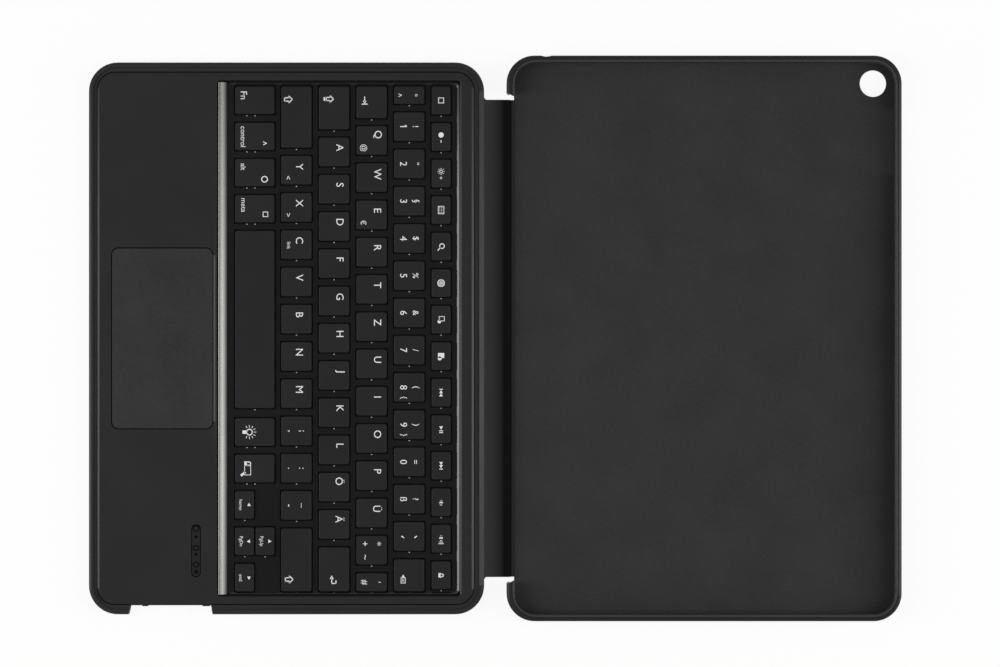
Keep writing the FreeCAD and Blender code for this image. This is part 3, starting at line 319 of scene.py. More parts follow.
def carve(made, tools):
    held = []
    for i, tool in enumerate(tools):
        cutter = hold(tool, "cutter_%d" % i)
        held.append(cutter)
        step = made.modifiers.new("cut_%d" % i, "BOOLEAN")
        step.operation = "DIFFERENCE"
        step.solver = "EXACT"
        step.object = cutter
    settle(made)
    for cutter in held:
        bpy.data.objects.remove(cutter)


def break_edges(made, width, steps=2):
    step = made.modifiers.new("edges", "BEVEL")
    step.width = width * MM
    step.segments = steps
    step.limit_method = "ANGLE"
    step.angle_limit = EDGE_ANGLE
    step.use_clamp_overlap = True
    settle(made)


def shade(made, look, angle=EDGE_ANGLE):
    made.data.materials.clear()
    made.data.materials.append(look)
    made.data.shade_smooth()
    made.data.set_sharp_from_angle(angle=angle)
    step = made.modifiers.new("even_faces", "WEIGHTED_NORMAL")
    step.weight = 100
    step.keep_sharp = True
    settle(made)


def piece(made, body, look, *nodes):
    shade(made, look)
    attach(made, body)
    if nodes:
        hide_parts(*nodes)
    return made


print("helpers ready")

# %% [markdown]
# The tray of the deck is a soft-coated moulding. Its rim stands a little above the keyboard unit, with a step
# inside it that reads as a dark line, and one side has a notch for the charging plug and two switches. It is
# one block with two pockets of different depth, and the notch is a wedge cut through the rim. The rim at the
# spine falls away in a slope, so that the soft skin runs on into the spine.

# %% Deck tray
low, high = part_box("deck_tray")
DECK_FRONT, DECK_REAR = low.x / MM, -4.825
DECK_SIDE = high.y / MM
RIM_TOP = high.z / MM
RIM_WALL = 2.2
REBATE_TOP = 5.6
unit_low, unit_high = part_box("base_housing")
UNIT_FRONT, UNIT_REAR = unit_low.x / MM, unit_high.x / MM
UNIT_SIDE = unit_high.y / MM
SPLIT, UNIT_TOP = (v.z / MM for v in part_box("top_housing"))
TRAY_FLOOR = unit_low.z / MM
TRAY_CORNER, TRAY_RIM, TRAY_FOOT, TRAY_EDGE = 13.0, 1.2, 0.8, 0.3
UNIT_CORNER = 8.0
NEST_GAP = 0.05
LARGE_STEPS = 12
REAR_FALL = math.tan(math.radians(20))
REAR_FROM = 0.15
# The notch at the unit's wall and further out, as places along the deck and distance from that wall
NOTCH_AT_UNIT = (-163.8, -127.6, 0.1)
NOTCH_OUTSIDE = (-165.7, -125.7, 9.0)


def deck_slab(inset, foot, over, *rounds):
    return slab((DECK_FRONT + inset, inset - DECK_SIDE, foot), (DECK_REAR - inset, DECK_SIDE - inset, over),
                TRAY_CORNER - inset, *rounds, corner_steps=LARGE_STEPS)


tray = hold(deck_slab(0, 0, RIM_TOP, TRAY_RIM, TRAY_FOOT), "deck_tray_skin")
rebate = deck_slab(RIM_WALL, REBATE_TOP, RIM_TOP + 2 * PAST)
nest = slab((UNIT_FRONT - NEST_GAP, -UNIT_SIDE - NEST_GAP, TRAY_FLOOR),
            (UNIT_REAR + NEST_GAP, UNIT_SIDE + NEST_GAP, RIM_TOP + 2 * PAST), UNIT_CORNER + NEST_GAP,
            corner_steps=LARGE_STEPS)
fall_from, fall_to = DECK_REAR - RIM_WALL - REAR_FROM, DECK_REAR + PAST
rear_fall = prism([(fall_from, RIM_TOP), (fall_to, RIM_TOP - (RIM_WALL + PAST) * REAR_FALL),
                   (fall_to, RIM_TOP + PAST), (fall_from, RIM_TOP + PAST)],
                  TRAY_CORNER - DECK_SIDE, DECK_SIDE - TRAY_CORNER, "Y")
near, far = ([(x, -UNIT_SIDE - out) for x in (a, b)] for a, b, out in (NOTCH_AT_UNIT, NOTCH_OUTSIDE))
notch = prism([near[0], far[0], far[1], near[1]], -PAST, RIM_TOP + PAST, "Z")
carve(tray, (rebate, nest, notch, rear_fall))
break_edges(tray, TRAY_EDGE, 3)
piece(tray, "deck", SOFT_COAT, "deck_tray")
print("tray faces:", len(tray.data.polygons))

# %% [markdown]
# The keyboard unit sits in the tray. Its top half is the palm rest and the frame round the keys in one
# moulding: a block with a generous round along its rim, hollow below, with openings for the keys, the
# touchpad, the indicator window and, in one side, the socket and two switches. The rear edge of the well has
# a slope that shows as one bright line, and so has the touchpad's opening. A narrow flat along the front and
# rear rims mirrors the light.

# %% Top half of the keyboard unit
WELL_FRONT, WELL_REAR, WELL_SIDE = -124.72, -15.62, 115.9
WELL_CORNER = 1.5
HOLLOW_WALL, HOLLOW_REAR = 2.2, 52.3
ROOF = 5.2
PAD_GAP, PAD_HOLE_CORNER = 0.3, 3.25
LENS_LEDGE, LENS_GAP, LENS_HOLE_CORNER = 0.6, 0.05, 2.1
RIM_ROUND = 1.2
TOP_EDGE = 0.22
FACET_LEAN = math.radians(28)
FACET_DEEP = 0.12
# Slopes start and end at these distances past their edge and above the top of the unit
WELL_SLOPE = ((-0.1, -0.6), (0.95, 0.02))
WELL_SLOPE_INSET = 0.8
PAD_SLOPE = ((-0.1, -0.611), (1.1, 0.0))
# For each piece in the side: the gap round it, then what is taken off its length, its travel and its height
SIDE_PIECES = {"charge_socket": (0.08, 0.0, 0.0, 0.0), "power_switch_knob": (0.1, 0.6, 2.0, 0.15),
               "pair_button": (0.05, 0.5, 0.0, 0.25)}
SIDE_DEEP = 5.0


def opening(node, gap, corner):
    low, high = box_mm(node)
    return slab((low.x - gap, low.y - gap, ROOF - PAST), (high.x + gap, high.y + gap, UNIT_TOP + PAST),
                corner)


def edge_slope(edge, slope, low_y, high_y):
    start, end = slope
    corners = [(edge + start[0], UNIT_TOP + start[1]), (edge + end[0], UNIT_TOP + end[1]),
               (edge + end[0], UNIT_TOP + PAST), (edge + start[0], UNIT_TOP + PAST)]
    return prism(corners, low_y, high_y, "Y")


def edge_facet(edge, side):
    centre = Vector((edge - side * RIM_ROUND, UNIT_TOP - RIM_ROUND))
    out = Vector((side * math.sin(FACET_LEAN), math.cos(FACET_LEAN)))
    along = Vector((side * math.cos(FACET_LEAN), -math.sin(FACET_LEAN)))
    middle = centre + out * (RIM_ROUND - FACET_DEEP)
    corners = (middle - along, middle + along, middle + along + out, middle - along + out)
    return prism([tuple(c) for c in corners], UNIT_CORNER - UNIT_SIDE, UNIT_SIDE - UNIT_CORNER, "Y")


top = hold(slab((UNIT_FRONT, -UNIT_SIDE, SPLIT), (UNIT_REAR, UNIT_SIDE, UNIT_TOP), UNIT_CORNER, RIM_ROUND,
                corner_steps=LARGE_STEPS, rim_steps=5), "palm_rest_and_frame")
well = slab((WELL_FRONT, -WELL_SIDE, SPLIT - PAST), (WELL_REAR, WELL_SIDE, UNIT_TOP + PAST), WELL_CORNER)
hollow = slab((UNIT_FRONT + HOLLOW_WALL, -WELL_SIDE, SPLIT - PAST),
              (UNIT_FRONT + HOLLOW_REAR, WELL_SIDE, ROOF))
pad_hole = opening("touchpad_plate", PAD_GAP, PAD_HOLE_CORNER)
pad_low, pad_high = box_mm("touchpad_plate")
pad_slope = edge_slope(pad_high.x + PAD_GAP, PAD_SLOPE, pad_low.y + PAD_HOLE_CORNER,
                       pad_high.y - PAD_HOLE_CORNER)
lens_hole = opening("indicator_lens", LENS_GAP - LENS_LEDGE, LENS_HOLE_CORNER)
rear_slope = edge_slope(WELL_REAR, WELL_SLOPE, WELL_SLOPE_INSET - WELL_SIDE, WELL_SIDE - WELL_SLOPE_INSET)
facets = [edge_facet(UNIT_FRONT, -1), edge_facet(UNIT_REAR, 1)]
side_holes = []
for node, (gap, shorter, travel, lower) in SIDE_PIECES.items():
    low, high = box_mm(node)
    side_holes.append(slab((low.x + shorter - gap, -UNIT_SIDE - PAST, low.z + lower - gap),
                           (high.x - shorter + travel + gap, SIDE_DEEP - UNIT_SIDE, high.z - lower + gap)))
carve(top, [well, hollow, pad_hole, pad_slope, lens_hole, rear_slope] + facets + side_holes)
break_edges(top, TOP_EDGE)
piece(top, "deck", PALM_COAT, "top_housing")
print("top half faces:", len(top.data.polygons))

# %% [markdown]
# A bright metal bar runs along the front of the keys. Its face is a low arch, highest near the palm rest, so
# it catches the light as one clear band between darker flanks. A few points give its section, one extrusion
# its length, and bevels its soft edges. Fine lines along it give the drawn metal its sheen. Its colour is
# also painted with light and shade across its width: a painted highlight at the palm rest edge and along the
# middle, and painted shade between them and towards the keys.

# %% Bright bar


# Paints light and shade into a finish's colour: a grey ramp along X, from low_x to high_x, multiplied into
# its tone.
def paint_shading_across(made, low_x, high_x, levels):
    tree = made.node_tree
    place = add_node(tree, "TexCoord", {}).outputs["Object"]
    across = add_node(tree, "SeparateXYZ", {"Vector": place}).outputs["X"]
    share = add_node(tree, "MapRange", {"From Min": low_x * MM, "From Max": high_x * MM, "Value": across})
    ramp = add_node(tree, "ValToRGB", {"Fac": share})
    stops = ramp.color_ramp.elements
    stops[0].color = (*grey(levels[0][1]), 1)
    stops[1].color = (*grey(levels[-1][1]), 1)
    for where, level in levels[1:-1]:
        stops.new(where).color = (*grey(level), 1)
    skin = [n for n in tree.nodes if n.type == "GROUP"][0].outputs["Colour"]
    painted = add_node(tree, "Mix", {"Factor": 1.0, "A": skin, "B": ramp}, data_type="RGBA",
                     blend_type="MULTIPLY")
    fill(tree, tree.nodes["Principled BSDF"], {"Base Color": painted.outputs["Result"]})


DRAWN_STRETCH = (6000, 14, 6000)
# Shares of the width from the palm rest, each with the grey of its painted highlight or shade
BAR_PAINTED_LIGHT = ((0.0, 0.5), (0.1, 0.6), (0.2, 0.3), (0.45, 0.58), (0.65, 0.35), (0.85, 0.1), (1.0, 0.03))


def drawn_metal(name, dark, light, low_x, high_x):
    made = finish(name, dark, light, grain=900, smooth=0.24, rough=0.3, bump=0.01, gloss=0.5, metal=1.0)
    tree = made.node_tree
    place = add_node(tree, "TexCoord", {}).outputs["Object"]
    stretch = add_node(tree, "Mapping", {"Vector": place, "Scale": DRAWN_STRETCH})
    lines = add_node(tree, "TexNoise", {"Vector": stretch, "Scale": 1.0, "Detail": 2.0})
    fill(tree, [n for n in tree.nodes if n.type == "BUMP"][0], {"Height": lines})
    # Painted highlights and painted shade across the bar
    paint_shading_across(made, low_x, high_x, BAR_PAINTED_LIGHT)
    return made


low, high = box_mm("trim_bar")
BRIGHT_METAL = drawn_metal("drawn_metal", (0.2, 0.197, 0.187), (0.25, 0.245, 0.234), low.x, high.x)
BAR_ROUND, BAR_EDGE = 0.25, 0.2
# Points of the arch from the keys to the palm rest, as distance from the palm rest and depth under the top
BAR_ARCH = ((3.3, 1.08), (2.4, 0.64), (0.8, 0.0), (0.4, 0.1), (0.0, 0.5))
BAR_FLANK = 1.6
section = [(low.x, low.z), (high.x, low.z), (high.x, high.z - BAR_FLANK)]
section += [(low.x + across, high.z - down) for across, down in BAR_ARCH]
bar = prism(section, low.y, high.y, "Y")
long_edges = [e for e in bar.edges if abs(e.verts[0].co.y - e.verts[1].co.y) > TINY
              and e.verts[0].co.z > low.z * MM + TINY]
round_edges(bar, long_edges, BAR_ROUND, 3)
bar = hold(bar, "bright_bar")
break_edges(bar, BAR_EDGE)
piece(bar, "deck", BRIGHT_METAL, "trim_bar")
print("bar length: %.1f mm" % (high.y - low.y))

# %% [markdown]
# The touchpad is a thin plate with round corners and a fine mottled surface. It clicks, so it rides on its
# own body. The speckle is the same grain as elsewhere, coarser and with a stronger relief.

# %% Touchpad
PAD_FACE = finish("pad_face", grey(0.012), grey(0.03), grain=1900, smooth=0.38, rough=0.55, bump=0.22,
                  gloss=0.14)
PAD_CORNER, PAD_RIM, PAD_FOOT = 3.0, 0.55, 0.1
low, high = box_mm("touchpad_plate")
pad = hold(slab(low, high, PAD_CORNER, PAD_RIM, PAD_FOOT, rim_steps=3), "touchpad_face")
piece(pad, "touchpad", PAD_FACE, "touchpad_plate")
print("touchpad: %.1f by %.1f mm" % (high.x - low.x, high.y - low.y))

# %% [markdown]
# The indicator window is a dark stadium set in the palm rest. Its lamps show through small round marks, and a
# few thin rings say what they stand for. The window is a block whose corners are rounded almost to half its
# width, and the marks are low discs and rings on its face.

# %% Indicator window
WINDOW = finish("window_plastic", grey(0.006), grey(0.009), smooth=0.3, rough=0.42, bump=0.01, gloss=0.13)
LAMP_DARK = finish("lamp_dark", grey(0.001), grey(0.002), smooth=0.5, rough=0.6, gloss=0.03)
MARK_THICK = 0.06
MARK_STEPS = 28
WINDOW_INSET = LENS_LEDGE + 0.2
WINDOW_DOWN, WINDOW_CORNER, WINDOW_RIM = 0.3, 1.85, 0.3
low, high = box_mm("indicator_lens")
low += Vector((WINDOW_INSET, WINDOW_INSET, 0))
high -= Vector((WINDOW_INSET, WINDOW_INSET, WINDOW_DOWN))
window = hold(slab(low, high, WINDOW_CORNER, WINDOW_RIM, rim_steps=3), "indicator_window")
piece(window, "deck", WINDOW, "indicator_lens")


def open_middle(bm, line):
    outer = set(bmesh.ops.inset_individual(bm, faces=list(bm.faces), thickness=line * MM)["faces"])
    bmesh.ops.delete(bm, geom=[f for f in bm.faces if f not in outer], context="FACES")


def low_disc(x, y, z, radius, line=None):
    bm = bmesh.new()
    bmesh.ops.create_circle(bm, cap_ends=True, segments=MARK_STEPS, radius=radius * MM,
                            matrix=Matrix.Translation(Vector((x, y, z - MARK_THICK / 2)) * MM))
    if line:
        open_middle(bm, line)
    return lift(bm, list(bm.faces), (0, 0, MARK_THICK))


def gather(parts):
    whole = bmesh.new()
    for part in parts:
        part_mesh = bpy.data.meshes.new("part")
        part.to_mesh(part_mesh)
        part.free()
        whole.from_mesh(part_mesh)
        bpy.data.meshes.remove(part_mesh)
    return whole


# Each mark's place along the window, its radius and the width of its line, if it is a ring
WINDOW_MARKS = ((10.0, 1.55, 0.55), (6.2, 0.75, None), (1.2, 1.4, 0.6), (-1.6, 0.75, None), (-6.2, 1.4, 0.5),
                (-9.5, 0.85, None))
middle = (low + high) / 2
lamps = [low_disc(middle.x, middle.y + along, high.z, radius, line) for along, radius, line in WINDOW_MARKS]
lamps = hold(gather(lamps), "indicator_lamp_marks")
piece(lamps, "deck", LAMP_DARK)
print("window marks:", len(WINDOW_MARKS))

# %% [markdown]
# The keys are thin caps with slightly leaning sides. A row of equal keys moves as one body in this model, so
# each row is one piece. Every cap starts as a cube, its upright edges are rounded, its top is drawn in a
# little, and its top rim gets a small round. An inset and an extrusion hollow it from below. The solids say
# where each row begins and how wide it is.

# %% Keycaps
LETTER_PITCH = 16.74
FUNCTION_PITCH = 16.41
BOTTOM, HOME, TOP = ("keycaps_%s_letters" % row for row in ("bottom", "home", "top"))
DIGITS, FUNCTION = "keycaps_digits", "keycaps_function"
# Number of keys and pitch
ROWS = {BOTTOM: (10, LETTER_PITCH), HOME: (11, LETTER_PITCH), TOP: (12, LETTER_PITCH),
        DIGITS: (12, LETTER_PITCH), FUNCTION: (14, FUNCTION_PITCH)}
KEY_LEAN = 0.2
KEY_CORNER = 0.9
KEY_RIM = 0.3
KEY_WALL = 1.1
KEY_ROOF = 0.6
KEY_SPOTS = {}


def one_cap(low, high):
    bm = slab(low, high, KEY_CORNER, corner_steps=3)
    middle = (Vector(low) + Vector(high)) * MM / 2
    size = (Vector(high) - Vector(low)) * MM
    crown = [v for v in bm.verts if v.co.z > middle.z]
    shrink = Vector((1 - 2 * KEY_LEAN * MM / size.x, 1 - 2 * KEY_LEAN * MM / size.y, 1))
    bmesh.ops.scale(bm, vec=shrink, verts=crown, space=Matrix.Translation(-middle))
    round_edges(bm, rim_edges(bm, high[2]), KEY_RIM, 2)
    under = [f for f in bm.faces if all(abs(v.co.z - low[2] * MM) < TINY for v in f.verts)]
    bmesh.ops.inset_individual(bm, faces=under, thickness=KEY_WALL * MM)
    return lift(bm, under, (0, 0, high[2] - KEY_ROOF - low[2]))


key_nodes = sorted(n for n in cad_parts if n.startswith("keycap"))
for node in key_nodes:
    low, high = box_mm(node)
    count, pitch = ROWS.get(node, (1, 0.0))
    wide = (high.y - low.y) - (count - 1) * pitch
    caps, spots = [], []
    for i in range(count):
        left = high.y - i * pitch
        caps.append(one_cap((low.x, left - wide, low.z), (high.x, left, high.z)))
        spots.append(((low.x + high.x) / 2, left - wide / 2))
    KEY_SPOTS[node] = (spots, high.z)
    body = node.replace("keycap", "key")
    piece(hold(gather(caps), node + "_finished"), body, KEY_PLASTIC, node)
print("keys:", sum(len(s) for s, _ in KEY_SPOTS.values()), "in", len(key_nodes), "pieces")

# %% [markdown]
# A glossy ledge stands round three sides of the lattice, open at the bright bar. Its inner face slopes, and
# at the rear that slope mirrors the light as a thin bright line, which fades round the corners. It is a block
# with round corners, cut out by another whose upper rim is drawn wider.

# %% Lattice rim
RIM_GLOSS = finish("rim_gloss", grey(0.006), grey(0.009), smooth=0.1, rough=0.16, bump=0.01, gloss=0.46)
RIM_REAR, RIM_SIDE, RIM_CORNER = -15.93, 114.8, 2.0
MOUTH_REAR, MOUTH_SIDE, MOUTH_CORNER = -17.05, 114.05, 1.4
REAR_LEAN, SIDE_LEAN = 0.95, 0.6
RIM_FOOT, RIM_TALL, RIM_SUNK = 4.5, 0.65, 0.3
BAR_GAP = 0.1
HAIR = 0.01
BAR_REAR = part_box("trim_bar")[1].x / MM
rim_crest = RIM_FOOT + RIM_TALL


def rim_slab(front, rear, side, foot, over, corner):
    return slab((front, -side, foot), (rear, side, over), corner, corner_steps=6)


rim = rim_slab(BAR_REAR + BAR_GAP, RIM_REAR, RIM_SIDE, RIM_FOOT - RIM_SUNK, rim_crest, RIM_CORNER)
lattice_rim = hold(rim, "lattice_rim")
mouth_front = BAR_REAR - PAST
through = rim_slab(mouth_front, MOUTH_REAR, MOUTH_SIDE, RIM_FOOT - PAST, RIM_FOOT + HAIR, MOUTH_CORNER)
mouth = rim_slab(mouth_front, MOUTH_REAR, MOUTH_SIDE, RIM_FOOT, rim_crest, MOUTH_CORNER)
crown = [v for v in mouth.verts if v.co.z > (RIM_FOOT + RIM_TALL / 2) * MM]
spread = (1 + REAR_LEAN / (MOUTH_REAR - mouth_front), 1 + SIDE_LEAN / MOUTH_SIDE, 1)
bmesh.ops.scale(mouth, vec=spread, verts=crown, space=Matrix.Translation(Vector((-mouth_front, 0, 0)) * MM))
bmesh.ops.translate(mouth, vec=(0, 0, HAIR * MM / 10), verts=crown)
carve(lattice_rim, (mouth, through))
piece(lattice_rim, "deck", RIM_GLOSS)
print("lattice rim: %.2f mm above the lattice" % RIM_TALL)

# %% [markdown]
# Under each cap stands a rubber dome that gives the key its spring. It gives way when the key goes down. The
# domes under each key body are one piece, which stays with the deck. A dome is a wide cone with a narrower
# one on it.

# %% Rubber domes
RUBBER = finish("dome_rubber", grey(0.3), grey(0.38), smooth=0.55, rough=0.75)
DOME_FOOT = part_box("membrane_sheet")[1].z / MM
DOME_STEPS = 12
# For the lower and the upper cone: radius below, radius above and share of the height
DOME_SHAPE = ((2.2, 1.5, 0.6), (1.5, 0.9, 0.4))


def dome(x, y, tall):
    parts = []
    foot = DOME_FOOT
    for below, above, share in DOME_SHAPE:
        bm = bmesh.new()
        place = Matrix.Translation(Vector((x, y, foot + tall * share / 2)) * MM)
        bmesh.ops.create_cone(bm, cap_ends=True, segments=DOME_STEPS, radius1=below * MM, radius2=above * MM,
                              depth=tall * share * MM, matrix=place)
        parts.append(bm)
        foot += tall * share
    return gather(parts)


for node, (spots, height) in KEY_SPOTS.items():
    tall = height - KEY_ROOF - DOME_FOOT
    domes = hold(gather([dome(x, y, tall) for x, y in spots]), node.replace("keycap", "dome"))
    piece(domes, "deck", RUBBER, "rubber_domes")
    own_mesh(domes)
print("dome pieces:", len(KEY_SPOTS))

# %% [markdown]
# Small pips stand on the lattice at the right-hand side of each key, two at the wide keys of the front row.
# They keep the caps apart. Their pale grey is a painted glint, so they show as tiny bright specks. Each one
# is a small block.

# %% Lattice pips
# Pale grey: a painted glint on each pip
PIP_PAINTED_GLINT = finish("pip_painted_glint", grey(0.34), grey(0.45), smooth=0.25, rough=0.35, gloss=0.4)
PIP_LONG, PIP_WIDE, PIP_TALL = 0.55, 0.35, 0.25
PIP_OUT, PIP_SUNK = 0.75, 0.1
ONE_PIP, TWO_PIPS = (0.0,), (-3.6, 0.0)
FRONT_ROW = ["keycap_" + key for key in ("fn", "control", "alt", "meta", "backlight", "touchpad_lock")]
pips = []
for node, (spots, _) in KEY_SPOTS.items():
    side = box_mm(node)[0].y - spots[-1][1] - PIP_OUT
    for x, y in spots:
        for shift in (TWO_PIPS if node in FRONT_ROW else ONE_PIP):
            middle = x + shift
            pips.append(slab((middle - PIP_LONG / 2, y + side, RIM_FOOT - PIP_SUNK),
                             (middle + PIP_LONG / 2, y + side + PIP_WIDE, RIM_FOOT + PIP_TALL)))
pip_count = len(pips)
piece(hold(gather(pips), "lattice_pips"), "deck", PIP_PAINTED_GLINT)
print("pips:", pip_count)

# %% [markdown]
# Key marks are printed in white. Letters are text curves turned into meshes, and the signs are built from
# discs, bars, rings and triangles. The typist sits at the left of the picture, so the marks' right is the
# case's minus Y and their up is its plus X. Each row's marks ride with their keys.

# %% Marks: helpers
PRINT = finish("white_print", grey(0.72), grey(0.8), smooth=0.5, rough=0.6, bump=0.0, gloss=0.2)
PRINT_THICK = 0.03
CAP_SHARE = 0.7
TURN = Matrix.Rotation(math.radians(-90), 4, "Z")


def spot_matrix(spot, height, right, up):
    return Matrix.Translation(Vector((spot[0] + up, spot[1] - right, height)) * MM) @ TURN


def flat_text(words, cap):
    curve = bpy.data.curves.new("words", "FONT")
    curve.body = words
    curve.align_x = "CENTER"
    curve.align_y = "CENTER"
    curve.resolution_u = 3
    curve.size = cap * MM / CAP_SHARE
    curve.extrude = PRINT_THICK * MM / 2
    written = add_object("words", curve)
    bpy.context.view_layer.update()
    mesh = bpy.data.meshes.new_from_object(written.evaluated_get(bpy.context.evaluated_depsgraph_get()))
    bpy.data.objects.remove(written)
    bm = bmesh.new()
    bm.from_mesh(mesh)
    bpy.data.meshes.remove(mesh)
    lows = [min(v.co[k] for v in bm.verts) for k in (0, 1)]
    highs = [max(v.co[k] for v in bm.verts) for k in (0, 1)]
    centre = Vector(((lows[0] + highs[0]) / 2, (lows[1] + highs[1]) / 2, 0))
    bmesh.ops.translate(bm, vec=-centre, verts=bm.verts)
    return bm


def thicken(bm):
    lift(bm, list(bm.faces), (0, 0, PRINT_THICK / 2))
    bmesh.ops.translate(bm, vec=(0, 0, -PRINT_THICK * MM / 4), verts=bm.verts)
    return bm


def turned(x, y, turn):
    return Matrix.Translation(Vector((x, y, 0)) * MM) @ Matrix.Rotation(math.radians(turn), 4, "Z")


def flat_circle(x, y, radius, steps, turn):
    bm = bmesh.new()
    bmesh.ops.create_circle(bm, cap_ends=True, segments=steps, radius=radius * MM, matrix=turned(x, y, turn))
    return bm


def flat_box(x, y, wide, tall, turn):
    bm = bmesh.new()
    place = turned(x, y, turn) @ Matrix.Diagonal((wide * MM, tall * MM, 1, 1))
    bmesh.ops.create_grid(bm, x_segments=1, y_segments=1, size=0.5, matrix=place)
    return bm


def hole_in(bm, line):
    open_middle(bm, line)
    return thicken(bm)


def disc(x, y, radius, steps=18, turn=0.0):
    return thicken(flat_circle(x, y, radius, steps, turn))


def ring(x, y, radius, line, steps=20, turn=0.0):
    return hole_in(flat_circle(x, y, radius, steps, turn), line)


def stroke(x, y, wide, tall, turn=0.0):
    return thicken(flat_box(x, y, wide, tall, turn))


def box_line(x, y, wide, tall, line, turn=0.0):
    return hole_in(flat_box(x, y, wide, tall, turn), line)


def point(x, y, radius, turn):
    return disc(x, y, radius, 3, turn)


print("mark helpers ready")

# %% [markdown]
# The letter rows follow the usual order of the region that the case was made for. A letter stands to the
# upper left of its key. Digits stand in front of their sign, and a few keys carry a small third mark.

# %% Marks: letters and digits
LETTER_ROWS = ((TOP, "QWERTZUIOPÜ", 2.7), (HOME, "ASDFGHJKLÖÄ", 2.7), (BOTTOM, "YXCVBNM", 1.4))
LETTER_RIGHT = -1.9
LETTER_SHIFT = {"Q": -0.7, "W": 0.4, "Y": 0.4, "Ö": -0.8, "Ä": -0.5}
LETTER_CAP, DIGIT_CAP, SIGN_CAP, SMALL_CAP = 3.3, 3.1, 2.6, 2.4
DIGIT_UP, SIGN_UP, QUOTE_UP = -2.5, 2.9, 4.0
THIRD_AT = (3.4, -3.6)
THIRD_MARKS = ((TOP, 0, "@"), (TOP, 2, "€"), (BOTTOM, 0, "<"), (BOTTOM, 1, ">"))
# Single marks: row, index of the key, words, height of a capital, then right and up from the key's middle
ROW_WORDS = (
    (DIGITS, 7, "{", 2.4, 4.6, -2.5), (DIGITS, 8, "}", 2.4, 4.6, -2.5),
    (TOP, 11, "+", 3.0, -2.9, -2.9), (TOP, 11, "*", 3.0, -2.9, 3.4), (TOP, 11, "~", 3.0, 3.1, -2.9),
    (BOTTOM, 7, ",", 3.0, 0, -3.5), (BOTTOM, 7, ";", 3.0, 0, 2.2), (BOTTOM, 8, ".", 3.0, 0, -3.5),
    (BOTTOM, 8, ":", 3.0, 0, 2.2), (BOTTOM, 9, "-", 3.0, 0, -3.5), (BOTTOM, 9, "_", 3.0, 0, 2.2),
    (BOTTOM, 2, "link", 1.6, 0.4, -3.4),
)
KEY_WORDS = (
    ("hash", "#", 2.8, 0, -3.4), ("hash", "'", 2.8, 0, 3.6), ("caret", "^", 2.6, 0, -4.0),
    ("caret", "°", 2.8, 0, 3.2), ("fn", "Fn", 2.9, -2.2, -4.9), ("control", "control", 2.25, 0.1, -5.2),
    ("control", "^", 3.0, 3.1, 4.6), ("alt", "alt", 2.25, -2.6, -5.2), ("meta", "meta", 2.25, -1.6, -5.2),
    ("arrow_left", "home", 1.5, 0, -1.7), ("arrow_down", "PgDn", 1.5, 0, -1.7),
    ("arrow_up", "PgUp", 1.5, 0, -1.7), ("arrow_right", "end", 1.5, 0, -1.7),
)
marks = {node: [] for node in key_nodes}


def write(node, index, words, cap, right, up):
    spots, height = KEY_SPOTS[node]
    bm = flat_text(words, cap)
    bm.transform(spot_matrix(spots[index], height, right, up))
    marks[node].append(bm)


def draw(node, index, shapes, right=0.0, up=0.0):
    spots, height = KEY_SPOTS[node]
    for bm in shapes:
        bm.transform(spot_matrix(spots[index], height, right, up))
        marks[node].append(bm)


for node, letters, up in LETTER_ROWS:
    for i, letter in enumerate(letters):
        write(node, i, letter, LETTER_CAP, LETTER_RIGHT + LETTER_SHIFT.get(letter, 0.0), up)
for node, i, third in THIRD_MARKS:
    write(node, i, third, SMALL_CAP, *THIRD_AT)
for i, (digit, over) in enumerate(zip("1234567890ß", "!\"§$%&/()=?")):
    write(DIGITS, i, digit, DIGIT_CAP, 0, DIGIT_UP)
    write(DIGITS, i, over, SIGN_CAP, 0, QUOTE_UP if over == "\"" else SIGN_UP)
for mark in ROW_WORDS:
    write(*mark)
for key, *mark in KEY_WORDS:
    write("keycap_" + key, 0, *mark)
draw(DIGITS, 0, [stroke(-0.35, 1.0, 0.42, 1.0, -47)], 0, DIGIT_UP)
draw(DIGITS, 11, [stroke(0.2, -2.9, 0.5, 1.4, -35), stroke(0.2, 2.9, 0.5, 1.4, 35)])
print("letter marks:", sum(len(m) for m in marks.values()))

# %% [markdown]
# The other keys carry plain signs: arrows, lamps, a lens, a lock, players' triangles. They are drawn from the
# same few strokes, in the marks' own right and up, in millimetres from the middle of the key.

# %% Marks: signs
LINE = 0.45


def both_sides(x, y, wide, tall, turn=0.0):
    return [stroke(-x, y, wide, tall, -turn), stroke(x, y, wide, tall, turn)]


def rays(x, y, reach, wide, long, turns):
    ways = [(t, math.radians(t)) for t in turns]
    return [stroke(x + reach * math.sin(a), y + reach * math.cos(a), wide, long, -t) for t, a in ways]


def open_arrow(size):
    return (both_sides(0.25 * size, 0.3 * size, LINE, 0.75 * size, 45)
            + both_sides(0.22 * size, -0.2 * size, LINE, 0.55 * size)
            + both_sides(0.36 * size, 0.07 * size, 0.32 * size, LINE)
            + [stroke(0, -0.46 * size, 0.44 * size + LINE, LINE)])


def lock_sign(size):
    return [stroke(0, -0.2 * size, 0.8 * size, 0.6 * size), ring(0, 0.2 * size, 0.32 * size, LINE)]


def lamp_sign(size):
    return ([ring(0, 0.12 * size, 0.36 * size, LINE), stroke(0, -0.42 * size, 0.36 * size, 0.4 * size)]
            + rays(0, 0.12 * size, 0.62 * size, 0.3, 0.24 * size, range(-120, 121, 30)))


def lit_sun(x, size):
    return [ring(x, 0, 0.55 * size, 0.3)] + rays(x, 0, 0.95 * size, 0.32, 0.32 * size, range(0, 360, 45))


def speaker(x):
    return [stroke(x - 0.55, 0, 0.7, 0.9), point(x - 0.1, 0, 1.1, 90)]


def sign(key, shapes, right, up):
    draw("keycap_" + key, 0, shapes, right, up)


